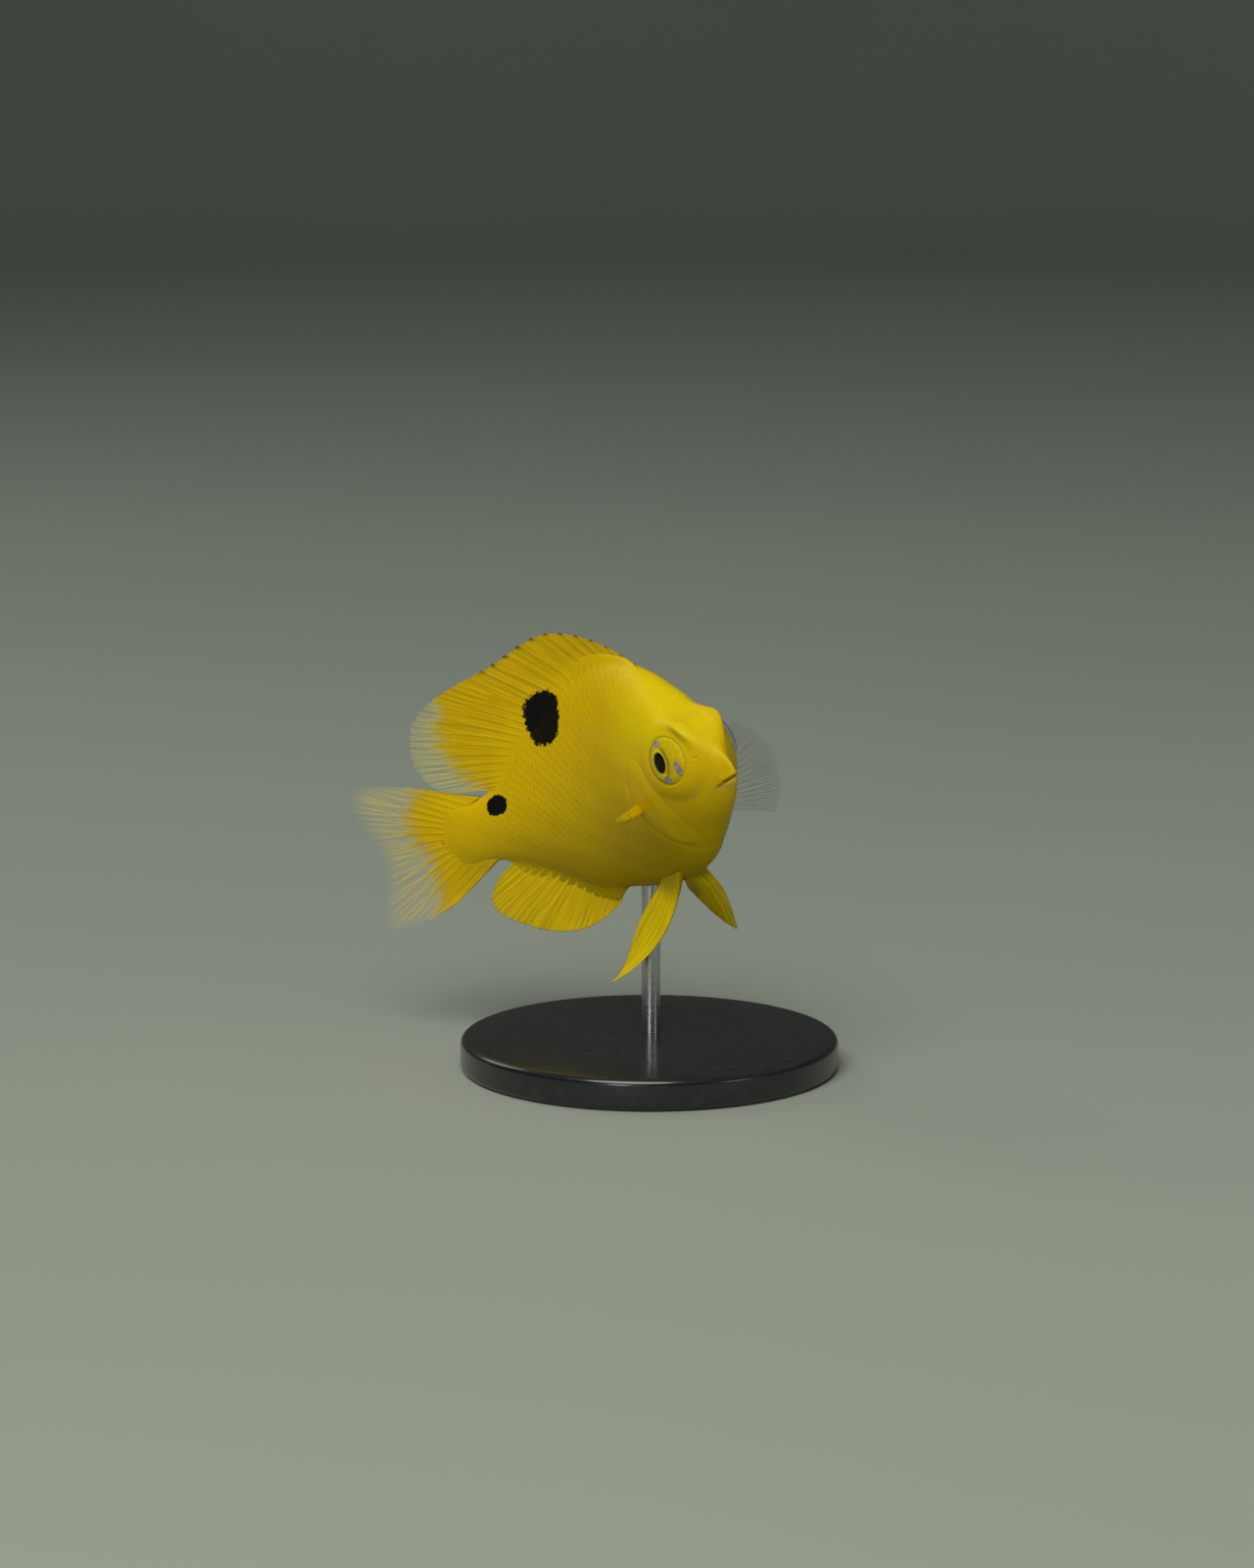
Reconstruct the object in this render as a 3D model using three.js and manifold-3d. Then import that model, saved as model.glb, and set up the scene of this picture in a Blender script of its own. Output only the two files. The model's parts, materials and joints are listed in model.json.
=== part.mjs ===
// A juvenile threespot damselfish, life size, swimming on a display stand. Millimetres, +Z up.
// The fish is drawn straight first, then its spine is bent, and last it is turned into its pose.
// Straight fish: x runs forward from the tail to the snout at 0, y to its left, z up.
// A place along the fish is told as its distance behind the snout.

import * as THREE from 'three';
import { mergeVertices } from 'three/addons/utils/BufferGeometryUtils.js';
import Module from 'manifold-3d';

const wasm = await Module();
wasm.setup();

// Driving sizes of the fish
const bodyLength = 40;        // snout to the end of the tail stalk
const gap = 0.3;              // between pieces that meet
const membrane = 0.26;        // half thickness of a fin between its rays
const finEdge = 0.16;         // half thickness of a fin at its margin
const rootDepth = 0.6;        // how far a fin starts inside the body before it is trimmed

// Pose: the tail turns to the fish's right, the snout points up and the back leans right
const frontBend = THREE.MathUtils.degToRad(31);
const tailBend = THREE.MathUtils.degToRad(5.4);
const noseUp = THREE.MathUtils.degToRad(13.6);
const lean = THREE.MathUtils.degToRad(13.7);
const headRoll = THREE.MathUtils.degToRad(3);     // the head leans a little more than the body

// Stand
const baseRadius = 18;
const baseHeight = 3;
const rodRadius = 0.9;
const snoutPlace = new THREE.Vector3(-0.5, -17.5, 31.5);

// Colours
const yellow = 0xd9b300;
const darkYellow = 0xa88f10;
const finYellow = 0xd2b21a;

function finish(color, roughness = 0.45, metalness = 0) {
  return new THREE.MeshStandardMaterial({ color, roughness, metalness });
}

// A smooth curve through [place, value] stations, as a function of the place
function smoothThrough(stations) {
  const last = stations.length - 1;
  const slopes = stations.map((station, i) => {
    const before = stations[Math.max(i - 1, 0)];
    const after = stations[Math.min(i + 1, last)];
    return (after[1] - before[1]) / (after[0] - before[0]);
  });
  return (place) => {
    let i = 0;
    while (i < last - 1 && place > stations[i + 1][0]) i += 1;
    const span = stations[i + 1][0] - stations[i][0];
    const t = THREE.MathUtils.clamp((place - stations[i][0]) / span, 0, 1);
    const rise = t * t * (3 - 2 * t);
    const leave = t * (1 - t) * (1 - t) * span * slopes[i];
    const arrive = t * t * (t - 1) * span * slopes[i + 1];
    return stations[i][1] * (1 - rise) + stations[i + 1][1] * rise + leave + arrive;
  };
}

// The same, but the line leaves the snout upright, as round noses do
function roundNosed(stations) {
  const curve = smoothThrough(stations.map(([place, value]) => [Math.sqrt(place), value]));
  return (place) => curve(Math.sqrt(Math.max(place, 0)));
}

// Body outline: height of the back and belly and half the width, at distances behind the snout
const backLine = roundNosed([
  [0, 0], [1.2, 1.88], [3.2, 4.9], [6, 6.45], [9, 8.96], [12, 10.9], [16, 11.9],
  [20, 11.6], [25, 9.9], [30, 7.0], [34, 4.0], [37, 3.05], [40, 3.2],
]);
const bellyLine = roundNosed([
  [0, 0], [1.2, -1.9], [3.2, -3.5], [6, -5.25], [10, -8.1], [14, -9.3], [18, -9.6],
  [23, -9.1], [27, -8.0], [31, -5.6], [34.5, -3.9], [37, -3.3], [40, -3.3],
]);
const halfWidth = roundNosed([
  [0, 0], [1.2, 0.68], [3.2, 1.78], [6, 3.2], [10, 4.2], [14, 4.4], [18, 4.1],
  [22, 3.5], [26, 2.8], [30, 2.0], [34, 1.35], [38, 0.95], [40, 0.8],
]);
// How much a section narrows towards the back and towards the belly
const narrowAbove = smoothThrough([[0, 0.05], [8, 0.12], [16, 0.24], [40, 0.1]]);
const narrowBelow = smoothThrough([[0, 0.05], [4, 0.22], [9, 0.34], [18, 0.28], [40, 0.1]]);

// Eyes, mouth and gill covers
const eyeAt = new THREE.Vector3(-5.86, 3.02, 2.48);
const eyeRadius = 2.15;
const eyeDepth = 1.5;            // behind its middle; its front is flatter
const eyeFront = 0.86;
const eyeUpward = THREE.MathUtils.degToRad(7);
const eyeForward = THREE.MathUtils.degToRad(19);
const foreheadFlat = 0.5;        // how much squarer the upper half of the head is than an oval
const browAt = new THREE.Vector2(-3.6, 4.0);
const browSwell = 1.8;           // ridge over and ahead of the eye
const browSpread = 1.85;
const mouthHeight = -0.64;
const mouthDrop = 0.22;          // fall of the mouth line for each millimetre back
const mouthReach = 2.0;
const lipSwell = 0.22;
const jawReach = 3.8;
const nostrilAt = new THREE.Vector3(-2.7, 1.6, 2.0);
const nostrilRadius = 0.3;
const gillPlate = 0.9;           // thickness of the gill cover
const gillProud = 0.15;          // how far it stands over the flank

const ringCount = 42;
const ringSides = 44;

// A point of the skin, or of the skin grown by some millimetres
function skinPoint(place, angle, grown = 0) {
  const top = backLine(place) + grown;
  const bottom = bellyLine(place) - grown;
  const side = Math.sin(angle);
  const narrowing = 1 - (side > 0 ? narrowAbove : narrowBelow)(place) * side * side;
  const onHead = side > 0 ? 1 - THREE.MathUtils.smoothstep(place, 5, 12) : 0;
  const across = Math.sign(Math.cos(angle)) * Math.abs(Math.cos(angle)) ** (1 - foreheadFlat * onHead);
  const y = (halfWidth(place) + grown) * across * narrowing;
  const z = (top + bottom) / 2 + (top - bottom) / 2 * side;
  return new THREE.Vector3(-place, y, z);
}

// Swellings of the head: a brow over each eye and the lips round the mouth line
function headSwell(point) {
  const fromBrow = Math.hypot(point.x - browAt.x, point.z - browAt.y);
  const brow = browSwell * Math.exp(-((fromBrow / browSpread) ** 2));
  const mouthLine = mouthHeight + mouthDrop * point.x;
  const fromMouth = (point.z - mouthLine) / 0.75;
  const behindMouth = THREE.MathUtils.smoothstep(-point.x, mouthReach - 0.6, mouthReach + 1.2);
  const lips = lipSwell * Math.exp(-fromMouth * fromMouth) * (1 - behindMouth);
  return Math.sign(point.y) * (brow + lips) * Math.min(Math.abs(point.y) / 0.8, 1);
}

// A closed tube through rings of points, with a flat end at both ends
function loft(rings) {
  const sides = rings[0].length;
  const positions = [];
  const faces = [];
  for (const ring of rings) {
    for (const point of ring) positions.push(point.x, point.y, point.z);
  }
  for (let r = 0; r < rings.length - 1; r += 1) {
    for (let i = 0; i < sides; i += 1) {
      const next = (i + 1) % sides;
      const a = r * sides + i;
      const b = r * sides + next;
      faces.push(a, a + sides, b, b, a + sides, b + sides);
    }
  }
  for (const [ring, turn] of [[rings[0], 1], [rings.at(-1), -1]]) {
    const start = turn > 0 ? 0 : (rings.length - 1) * sides;
    const middle = ring.reduce((sum, point) => sum.add(point), new THREE.Vector3());
    middle.divideScalar(sides);
    const centre = positions.length / 3;
    positions.push(middle.x, middle.y, middle.z);
    for (let i = 0; i < sides; i += 1) {
      const next = (i + 1) % sides;
      if (turn > 0) faces.push(centre, start + i, start + next);
      else faces.push(centre, start + next, start + i);
    }
  }
  const geometry = new THREE.BufferGeometry();
  geometry.setAttribute('position', new THREE.Float32BufferAttribute(positions, 3));
  geometry.setIndex(faces);
  return geometry;
}

// The whole straight body as one tube, grown or shrunk, between two distances
function bodyTube({ from = 0.05, to = bodyLength, grown = 0, swell = false, rings = ringCount }) {
  const all = [];
  for (let r = 0; r <= rings; r += 1) {
    const place = from + (to - from) * (r / rings) ** 1.6;
    const ring = [];
    for (let i = 0; i < ringSides; i += 1) {
      const angle = (i / ringSides) * Math.PI * 2;
      const point = skinPoint(place, angle, grown);
      if (swell) {
        point.y += headSwell(point);
      }
      ring.push(point);
    }
    all.push(ring);
  }
  return loft(all);
}

function solidOf(geometry) {
  const bare = geometry.clone();
  bare.deleteAttribute('normal');
  bare.deleteAttribute('uv');
  const merged = mergeVertices(bare, 1e-4);
  const mesh = new wasm.Mesh({
    numProp: 3,
    vertProperties: new Float32Array(merged.attributes.position.array),
    triVerts: new Uint32Array(merged.index.array),
  });
  return new wasm.Manifold(mesh);
}

function largestOf(solid) {
  const pieces = solid.decompose();
  return pieces.reduce((best, piece) => (piece.volume() > best.volume() ? piece : best));
}

function geometryOf(solid) {
  const mesh = largestOf(solid).getMesh();
  const geometry = new THREE.BufferGeometry();
  geometry.setAttribute('position', new THREE.Float32BufferAttribute(mesh.vertProperties, 3));
  geometry.setIndex(Array.from(mesh.triVerts));
  return geometry;
}

// The spine: how far it has turned at a distance behind the snout, and where it is
function spineTurn(place) {
  const front = THREE.MathUtils.smoothstep(place / bodyLength, 0.25, 0.75);
  const rear = THREE.MathUtils.smoothstep(place / bodyLength, 0.65, 1.15);
  return frontBend * front + tailBend * rear;
}

const spineStep = 0.25;
const spinePoints = [new THREE.Vector2(0, 0)];
for (let place = spineStep / 2; place < bodyLength * 1.5; place += spineStep) {
  const turn = spineTurn(place);
  const step = new THREE.Vector2(-Math.cos(turn), -Math.sin(turn)).multiplyScalar(spineStep);
  spinePoints.push(spinePoints.at(-1).clone().add(step));
}

function spineAt(place) {
  if (place <= 0) return new THREE.Vector2(-place, 0);
  const index = Math.min(Math.floor(place / spineStep), spinePoints.length - 2);
  const along = place / spineStep - index;
  return spinePoints[index].clone().lerp(spinePoints[index + 1], along);
}

// Moves a straight point onto the bent fish, or with the spine's turn at one place only
function bendPoint(point, rideAt = null) {
  const place = rideAt === null ? -point.x : rideAt;
  const turn = spineTurn(place);
  const spine = spineAt(place);
  const ahead = rideAt === null ? 0 : point.x + rideAt;
  const roll = rideAt === null ? headRoll * (1 - THREE.MathUtils.smoothstep(place, 5, 13)) : 0;
  const side = point.y * Math.cos(roll) - point.z * Math.sin(roll);
  const x = spine.x + ahead * Math.cos(turn) - side * Math.sin(turn);
  const y = spine.y + ahead * Math.sin(turn) + side * Math.cos(turn);
  return new THREE.Vector3(x, y, point.y * Math.sin(roll) + point.z * Math.cos(roll));
}

function bent(geometry, rideAt = null) {
  const result = geometry.clone();
  const position = result.attributes.position;
  for (let i = 0; i < position.count; i += 1) {
    const point = new THREE.Vector3().fromBufferAttribute(position, i);
    const moved = bendPoint(point, rideAt);
    position.setXYZ(i, moved.x, moved.y, moved.z);
  }
  return result;
}

// A plate whose outline is drawn from the side, from one y to another
function sidePlate(outline, fromY, toY) {
  const shape = new THREE.Shape(outline.map(([place, z]) => new THREE.Vector2(-place, z)));
  const plate = new THREE.ExtrudeGeometry(shape, { depth: toY - fromY, bevelEnabled: false });
  plate.rotateX(Math.PI / 2);
  plate.translate(0, toY, 0);
  return solidOf(plate);
}

// Outline of the gill cover: an oval behind the cheek, moved out by the given margin
function gillOutline(margin) {
  const points = [];
  const steps = 22;
  for (let i = 0; i < steps; i += 1) {
    const angle = (i / steps) * Math.PI * 2;
    const toRear = Math.cos(angle) > 0 ? 2.7 : 1.5;
    const height = Math.sin(angle) > 0 ? 4.8 : 4.6;
    const tipBack = 0.5 * Math.max(Math.cos(angle), 0) ** 6;
    const slant = 0.25 * height * Math.sin(angle);
    points.push([
      9.6 + (toRear + margin) * Math.cos(angle) + tipBack + slant,
      -1.4 + (height + margin) * Math.sin(angle),
    ]);
  }
  return points;
}

function eyeBall(grown = 0) {
  const ball = new THREE.SphereGeometry(1, 20, 14);
  ball.rotateX(Math.PI / 2);
  const position = ball.attributes.position;
  for (let i = 0; i < position.count; i += 1) {
    const y = position.getY(i);
    position.setY(i, y * ((y > 0 ? eyeFront : eyeDepth) + grown));
  }
  ball.scale(eyeRadius + grown, 1, eyeRadius + grown);
  ball.rotateX(eyeUpward);
  ball.rotateZ(-eyeForward);
  ball.translate(eyeAt.x, eyeAt.y, eyeAt.z);
  return ball;
}

// The same piece on the fish's right side
function mirrored(geometry) {
  const copy = geometry.clone();
  copy.scale(1, -1, 1);
  const index = Array.from(copy.index.array);
  for (let i = 0; i < index.length; i += 3) {
    [index[i], index[i + 1]] = [index[i + 1], index[i]];
  }
  copy.setIndex(index);
  return copy;
}

// Head, jaw, gill covers, trunk and tail stalk are one body parted by thin cuts
function bodyParts() {
  const farOut = 20;
  const body = solidOf(bodyTube({ swell: true }));
  const proud = solidOf(bodyTube({ from: 4, to: 20, grown: gillProud, rings: 26 }));
  const plateBack = solidOf(bodyTube({ from: 4, to: 20, grown: -gillPlate, rings: 26 }));
  const pocketFloor = solidOf(bodyTube({ from: 4, to: 20, grown: -gillPlate - gap, rings: 26 }));
  const sides = [['left', 0.5, farOut], ['right', -farOut, -0.5]];
  const parts = {};
  let rest = body;
  for (const [side, fromY, toY] of sides) {
    const cover = sidePlate(gillOutline(0), fromY, toY).intersect(proud).subtract(plateBack);
    parts[`gill_cover_${side}`] = geometryOf(cover);
    rest = rest.subtract(sidePlate(gillOutline(gap), fromY, toY).subtract(pocketFloor));
  }
  for (const turn of [1, -1]) {
    const socket = eyeBall(gap);
    rest = rest.subtract(solidOf(turn > 0 ? socket : mirrored(socket)));
    const pit = new THREE.CylinderGeometry(nostrilRadius, nostrilRadius, 1.6, 10);
    pit.translate(nostrilAt.x, turn * (nostrilAt.y + 0.65), nostrilAt.z);
    rest = rest.subtract(solidOf(pit));
  }
  // The jaw is cut along the mouth line and behind the chin
  const lineAt = (place) => mouthHeight - mouthDrop * place;
  const jaw = (margin) => sidePlate([
    [-3, lineAt(-3) - margin], [mouthReach, lineAt(mouthReach) - margin],
    [jawReach - margin, lineAt(jawReach) - 1.1 - margin], [jawReach + 1.6 - margin, -farOut],
    [-3, -farOut],
  ], -farOut, farOut);
  parts.lower_jaw = geometryOf(rest.intersect(jaw(gap)));
  rest = rest.subtract(jaw(0));
  // The head ends at a slanting cut behind the gill covers, and the trunk at an upright one
  const neckTop = 12.6;
  const neckBottom = 9.4;
  const stalkStart = 34.6;
  const aheadOf = (top, bottom) => sidePlate(
    [[-9, farOut], [top, farOut], [bottom, -farOut], [-9, -farOut]], -farOut, farOut);
  parts.head = geometryOf(rest.intersect(aheadOf(neckTop, neckBottom)));
  rest = rest.subtract(aheadOf(neckTop + gap, neckBottom + gap));
  parts.trunk = geometryOf(rest.intersect(aheadOf(stalkStart, stalkStart)));
  parts.tail_stalk = geometryOf(rest.subtract(aheadOf(stalkStart + gap, stalkStart + gap)));
  return parts;
}

// Columns across a fin: one along each ray and one on both its sides
function rayColumns(rays, { notch = 0, from = 0, to = 1 } = {}) {
  const columns = [];
  for (let ray = 0; ray < rays; ray += 1) {
    const at = from + (to - from) * (ray / (rays - 1));
    const half = (to - from) * 0.5 / (rays - 1);
    columns.push({ at, ridge: 1, reach: 1 });
    if (ray < rays - 1) columns.push({ at: at + half, ridge: 0, reach: 1 - notch });
  }
  return columns;
}

// A closed sheet over columns and rows: both faces are split into triangles alike
function finSheet(columns, rows, surface) {
  const count = columns.length;
  const positions = [];
  const faces = [];
  for (const side of [1, -1]) {
    for (const column of columns) {
      for (let row = 0; row <= rows; row += 1) {
        const along = (row / rows) * (row > 0 ? 1 - (1 - column.reach) * (row / rows) ** 3 : 1);
        const { centre, normal, half } = surface(column.at, along, column.ridge);
        const point = centre.clone().addScaledVector(normal, side * half);
        positions.push(point.x, point.y, point.z);
      }
    }
  }
  const step = rows + 1;
  const other = count * step;
  for (let c = 0; c < count - 1; c += 1) {
    for (let r = 0; r < rows; r += 1) {
      const a = c * step + r;
      const b = a + step;
      faces.push(a, b, b + 1, a, b + 1, a + 1);
      faces.push(a + other, b + 1 + other, b + other, a + other, a + 1 + other, b + 1 + other);
    }
  }
  const wall = (a, b) => faces.push(a, a + other, b, b, a + other, b + other);
  for (let r = 0; r < rows; r += 1) {
    wall(r + 1, r);
    wall((count - 1) * step + r, (count - 1) * step + r + 1);
  }
  for (let c = 0; c < count - 1; c += 1) {
    wall(c * step, (c + 1) * step);
    wall((c + 1) * step + rows, c * step + rows);
  }
  const geometry = new THREE.BufferGeometry();
  geometry.setAttribute('position', new THREE.Float32BufferAttribute(positions, 3));
  geometry.setIndex(faces);
  return geometry;
}

// Half thickness of a fin: a fleshy root, a thin membrane with raised rays, a thin margin
function finHalf(along, ridge, { root = 0.75, ray = 0.14 } = {}) {
  const flesh = (root - membrane) * Math.exp(-((along / 0.16) ** 2));
  const thin = THREE.MathUtils.lerp(membrane, finEdge, along * along);
  return thin + flesh + ridge * ray * (1 - 0.6 * along);
}

const sideways = new THREE.Vector3(0, 1, 0);

// A fin that stands on the middle line: base and margin are curves in the side view
function medianSurface({ base, margin, root, ray }) {
  return (at, along, ridge) => {
    const foot = base(at);
    const tip = margin.getPoint(THREE.MathUtils.clamp(at, 0, 1));
    const centre = new THREE.Vector3(
      -THREE.MathUtils.lerp(foot.x, tip.x, along), 0, THREE.MathUtils.lerp(foot.y, tip.y, along));
    return { centre, normal: sideways, half: finHalf(along, ridge, { root, ray }) };
  };
}

function curveOf(points) {
  return new THREE.SplineCurve(points.map(([place, z]) => new THREE.Vector2(place, z)));
}

// Dorsal fin: twelve spines and then soft rays
const dorsalSpines = 12;
const dorsalSoftRays = 15;
const spinyBase = [11.6, 25.6];
const softBase = [25.9, 34.6];
const spinyMargin = curveOf([
  [12.8, 12.2], [15.6, 13.8], [18.6, 14.8], [21.4, 15.8], [24.2, 16.4], [27.2, 16.2],
  [29.9, 15.6], [32.3, 15.1],
]);
const softMargin = curveOf([
  [32.6, 15.05], [36.8, 14.3], [39.6, 13.4], [41.9, 11.6], [42.9, 9.0], [42.4, 6.4],
  [40.6, 4.6], [37.6, 3.9],
]);

// Anal fin: two spines and soft rays
const analRays = 15;
const analBase = [24.0, 34.8];
const analMargin = curveOf([
  [25.4, -10.6], [28.0, -11.8], [30.8, -12.2], [34.0, -11.6], [37.0, -10.2], [39.3, -8.4],
  [39.5, -6.6], [37.8, -4.9],
]);

// Tail fin
const tailRays = 17;
const tailBaseHalf = 3.1;
const tailMargin = curveOf([
  [43.5, 5.6], [47.5, 7.3], [50.8, 7.8], [52.2, 6.4], [51.9, 3.6], [51.0, 0.6], [51.8, -2.4],
  [52.8, -5.2], [52.2, -7.2], [48.2, -7.3], [43.6, -5.7],
]);

function dorsalBase([start, end]) {
  return (at) => {
    const place = THREE.MathUtils.lerp(start, end, at);
    return new THREE.Vector2(place, backLine(place) - rootDepth);
  };
}

function medianFins() {
  const grownBody = solidOf(bodyTube({ grown: gap, rings: 60 }));
  const trimmed = (sheet) => geometryOf(solidOf(sheet).subtract(grownBody));
  const spiny = finSheet(rayColumns(dorsalSpines, { notch: 0.08 }), 5,
    medianSurface({ base: dorsalBase(spinyBase), margin: spinyMargin, root: 0.8, ray: 0.2 }));
  const soft = finSheet(rayColumns(dorsalSoftRays), 6,
    medianSurface({ base: dorsalBase(softBase), margin: softMargin, root: 0.7, ray: 0.14 }));
  const analFoot = (at) => {
    const place = THREE.MathUtils.lerp(analBase[0], analBase[1], at);
    return new THREE.Vector2(place, bellyLine(place) + rootDepth);
  };
  const anal = finSheet(rayColumns(analRays), 5,
    medianSurface({ base: analFoot, margin: analMargin, root: 0.7, ray: 0.15 }));
  const tailFoot = (at) => new THREE.Vector2(
    bodyLength + gap, THREE.MathUtils.lerp(tailBaseHalf, -tailBaseHalf, at));
  const tail = finSheet(rayColumns(tailRays), 7,
    medianSurface({ base: tailFoot, margin: tailMargin, root: 0.75, ray: 0.15 }));
  return {
    dorsal_fin_spiny: trimmed(spiny),
    dorsal_fin_soft: trimmed(soft),
    anal_fin: trimmed(mirroredFaces(anal)),
    caudal_fin: tail,
  };
}

// Turns a sheet's faces the other way, where its columns run the other way round
function mirroredFaces(geometry) {
  const index = Array.from(geometry.index.array);
  for (let i = 0; i < index.length; i += 3) {
    [index[i], index[i + 1]] = [index[i + 1], index[i]];
  }
  geometry.setIndex(index);
  return geometry;
}

// A fan of rays from a short base line. Directions are forward, left, up.
function fanSurface({ baseUpper, baseLower, directions, lengths, cup, sag, root, ray }) {
  const droop = new THREE.Vector3(...(sag ?? [0, 0, 0]));
  const upper = new THREE.Vector3(...baseUpper);
  const lower = new THREE.Vector3(...baseLower);
  const ways = directions.map((way) => new THREE.Vector3(...way).normalize());
  const lengthAt = smoothThrough(lengths);
  const wayAt = (at) => {
    const blend = new THREE.Vector3();
    blend.addScaledVector(ways[0], 2 * (at - 0.5) * (at - 1));
    blend.addScaledVector(ways[1], 4 * at * (1 - at));
    blend.addScaledVector(ways[2], 2 * at * (at - 0.5));
    return blend.normalize();
  };
  const placeOf = (at, along) => {
    const way = wayAt(at);
    const across = ways[2].clone().sub(ways[0]).normalize();
    const bow = new THREE.Vector3().crossVectors(way, across).normalize();
    const point = upper.clone().lerp(lower, at);
    point.addScaledVector(way, lengthAt(at) * along);
    point.addScaledVector(droop, 4 * along * (1 - along));
    return point.addScaledVector(bow, cup * along * along);
  };
  const small = 0.01;
  return (at, along, ridge) => {
    const centre = placeOf(at, along);
    const alongWay = placeOf(at, along + small).sub(placeOf(at, along - small));
    const acrossWay = placeOf(at + small, along).sub(placeOf(at - small, along));
    const normal = new THREE.Vector3().crossVectors(acrossWay, alongWay).normalize();
    return { centre, normal, half: finHalf(along, ridge, { root, ray }) };
  };
}

const pectoralRays = 16;
const pelvicRays = 6;
const pectoralFins = {
  left: {
    baseUpper: [-13.3, 3.5, -0.9], baseLower: [-12.6, 3.2, -3.9],
    directions: [[-0.45, 0.82, 0.4], [-0.37, 0.92, 0.1], [-0.35, 0.87, -0.33]],
    lengths: [[0, 10.6], [0.25, 11.8], [0.6, 11.4], [0.85, 9.8], [1, 8.4]], cup: 0.4,
  },
  right: {
    baseUpper: [-13.3, -3.5, -0.9], baseLower: [-12.6, -3.2, -3.9],
    directions: [[0.72, -0.69, -0.08], [0.74, -0.65, -0.18], [0.7, -0.64, -0.32]],
    lengths: [[0, 10.6], [0.25, 11.0], [0.6, 9.8], [0.85, 7.6], [1, 6.2]], cup: 0.3,
  },
};
const pelvicFins = {
  left: {
    baseUpper: [-14.4, 1.3, -8.5], baseLower: [-17.2, 0.9, -8.9],
    directions: [[-7.6, 6.6, -7.2], [-8.9, 6.0, -6.6], [-10, 4.0, -4.6]],
    lengths: [[0, 11.0], [0.2, 13.9], [0.4, 11.4], [0.7, 8.8], [1, 6.4]], cup: 0.5,
  },
  right: {
    baseUpper: [-14.4, -1.3, -8.5], baseLower: [-16.9, -0.9, -8.9],
    directions: [[-8.4, -6.2, -8.2], [-9.2, -5.4, -7.4], [-9.2, -4.6, -6.0]],
    lengths: [[0, 11.0], [0.2, 13.8], [0.4, 11.8], [0.7, 9.2], [1, 6.6]], cup: 0.4,
    sag: [0.4, 0.7, -0.5],
  },
};

// Paired fins keep the spine's turn at their root and are trimmed by the bent body
function pairedFins(bentBody) {
  const fins = {};
  for (const side of ['right', 'left']) {
    const pectoral = finSheet(rayColumns(pectoralRays), 5,
      fanSurface({ ...pectoralFins[side], root: 0.6, ray: 0.12 }));
    const pelvic = finSheet(rayColumns(pelvicRays), 8,
      fanSurface({ ...pelvicFins[side], root: 0.6, ray: 0.16 }));
    fins[`pectoral_fin_${side}`] = bent(pectoral, 13.8);
    fins[`pelvic_fin_${side}`] = bent(pelvic, 15.6);
  }
  for (const name of Object.keys(fins)) {
    fins[name] = geometryOf(solidOf(fins[name]).subtract(bentBody));
  }
  return fins;
}

// The fish in its pose: heading, then snout up, then lean
const fish = new THREE.Group();
fish.position.copy(snoutPlace);
fish.rotation.set(lean, -noseUp, -Math.PI / 2, 'ZYX');
fish.updateMatrixWorld(true);

function addTo(group, name, geometry, material) {
  const mesh = new THREE.Mesh(geometry, material);
  mesh.name = name;
  group.add(mesh);
  return mesh;
}

const flesh = finish(yellow);
for (const [name, geometry] of Object.entries(bodyParts())) {
  addTo(fish, name, bent(geometry), name === 'lower_jaw' ? finish(darkYellow) : flesh);
}
const eyeMaterial = finish(0x1c1408, 0.1);
addTo(fish, 'eye_left', eyeBall(), eyeMaterial);
addTo(fish, 'eye_right', mirrored(eyeBall()), eyeMaterial);
for (const [name, geometry] of Object.entries(medianFins())) {
  addTo(fish, name, bent(geometry), finish(finYellow));
}
const clearance = bent(bodyTube({ grown: gap, rings: 60 }));
for (const [name, geometry] of Object.entries(pairedFins(solidOf(clearance)))) {
  addTo(fish, name, geometry, finish(finYellow));
}

// Stand: a round base and one rod up to the belly, between the pelvic fins
const rodFoot = new THREE.Vector2(1.0, 1.6);
const rodTop = 27;
const rodSink = 1.5;

function standBase() {
  const edge = 0.6;
  const profile = [
    [0, 0], [baseRadius - edge, 0], [baseRadius, edge], [baseRadius, baseHeight - edge],
    [baseRadius - edge, baseHeight], [0, baseHeight],
  ].map(([radius, z]) => new THREE.Vector2(radius, z));
  const disc = new THREE.LatheGeometry(profile, 48);
  disc.rotateX(Math.PI / 2);
  const hole = new THREE.CylinderGeometry(rodRadius + gap, rodRadius + gap, 10, 20);
  hole.rotateX(Math.PI / 2);
  hole.translate(rodFoot.x, rodFoot.y, baseHeight - rodSink + 5);
  return geometryOf(solidOf(disc).subtract(solidOf(hole)));
}

function standRod() {
  const foot = baseHeight - rodSink + gap;
  const rod = new THREE.CylinderGeometry(rodRadius, rodRadius, rodTop - foot, 20);
  rod.rotateX(Math.PI / 2);
  rod.translate(rodFoot.x, rodFoot.y, (rodTop + foot) / 2);
  const body = clearance.clone().applyMatrix4(fish.matrixWorld);
  const cut = solidOf(rod).subtract(solidOf(body));
  const lowest = cut.decompose().reduce(
    (best, piece) => (piece.boundingBox().min[2] < best.boundingBox().min[2] ? piece : best));
  return geometryOf(lowest);
}

const object = new THREE.Group();
object.add(fish);
addTo(object, 'stand_base', standBase(), finish(0x17181a, 0.25));
addTo(object, 'stand_rod', standRod(), finish(0xb9bcc0, 0.3, 1));

export default object;
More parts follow.
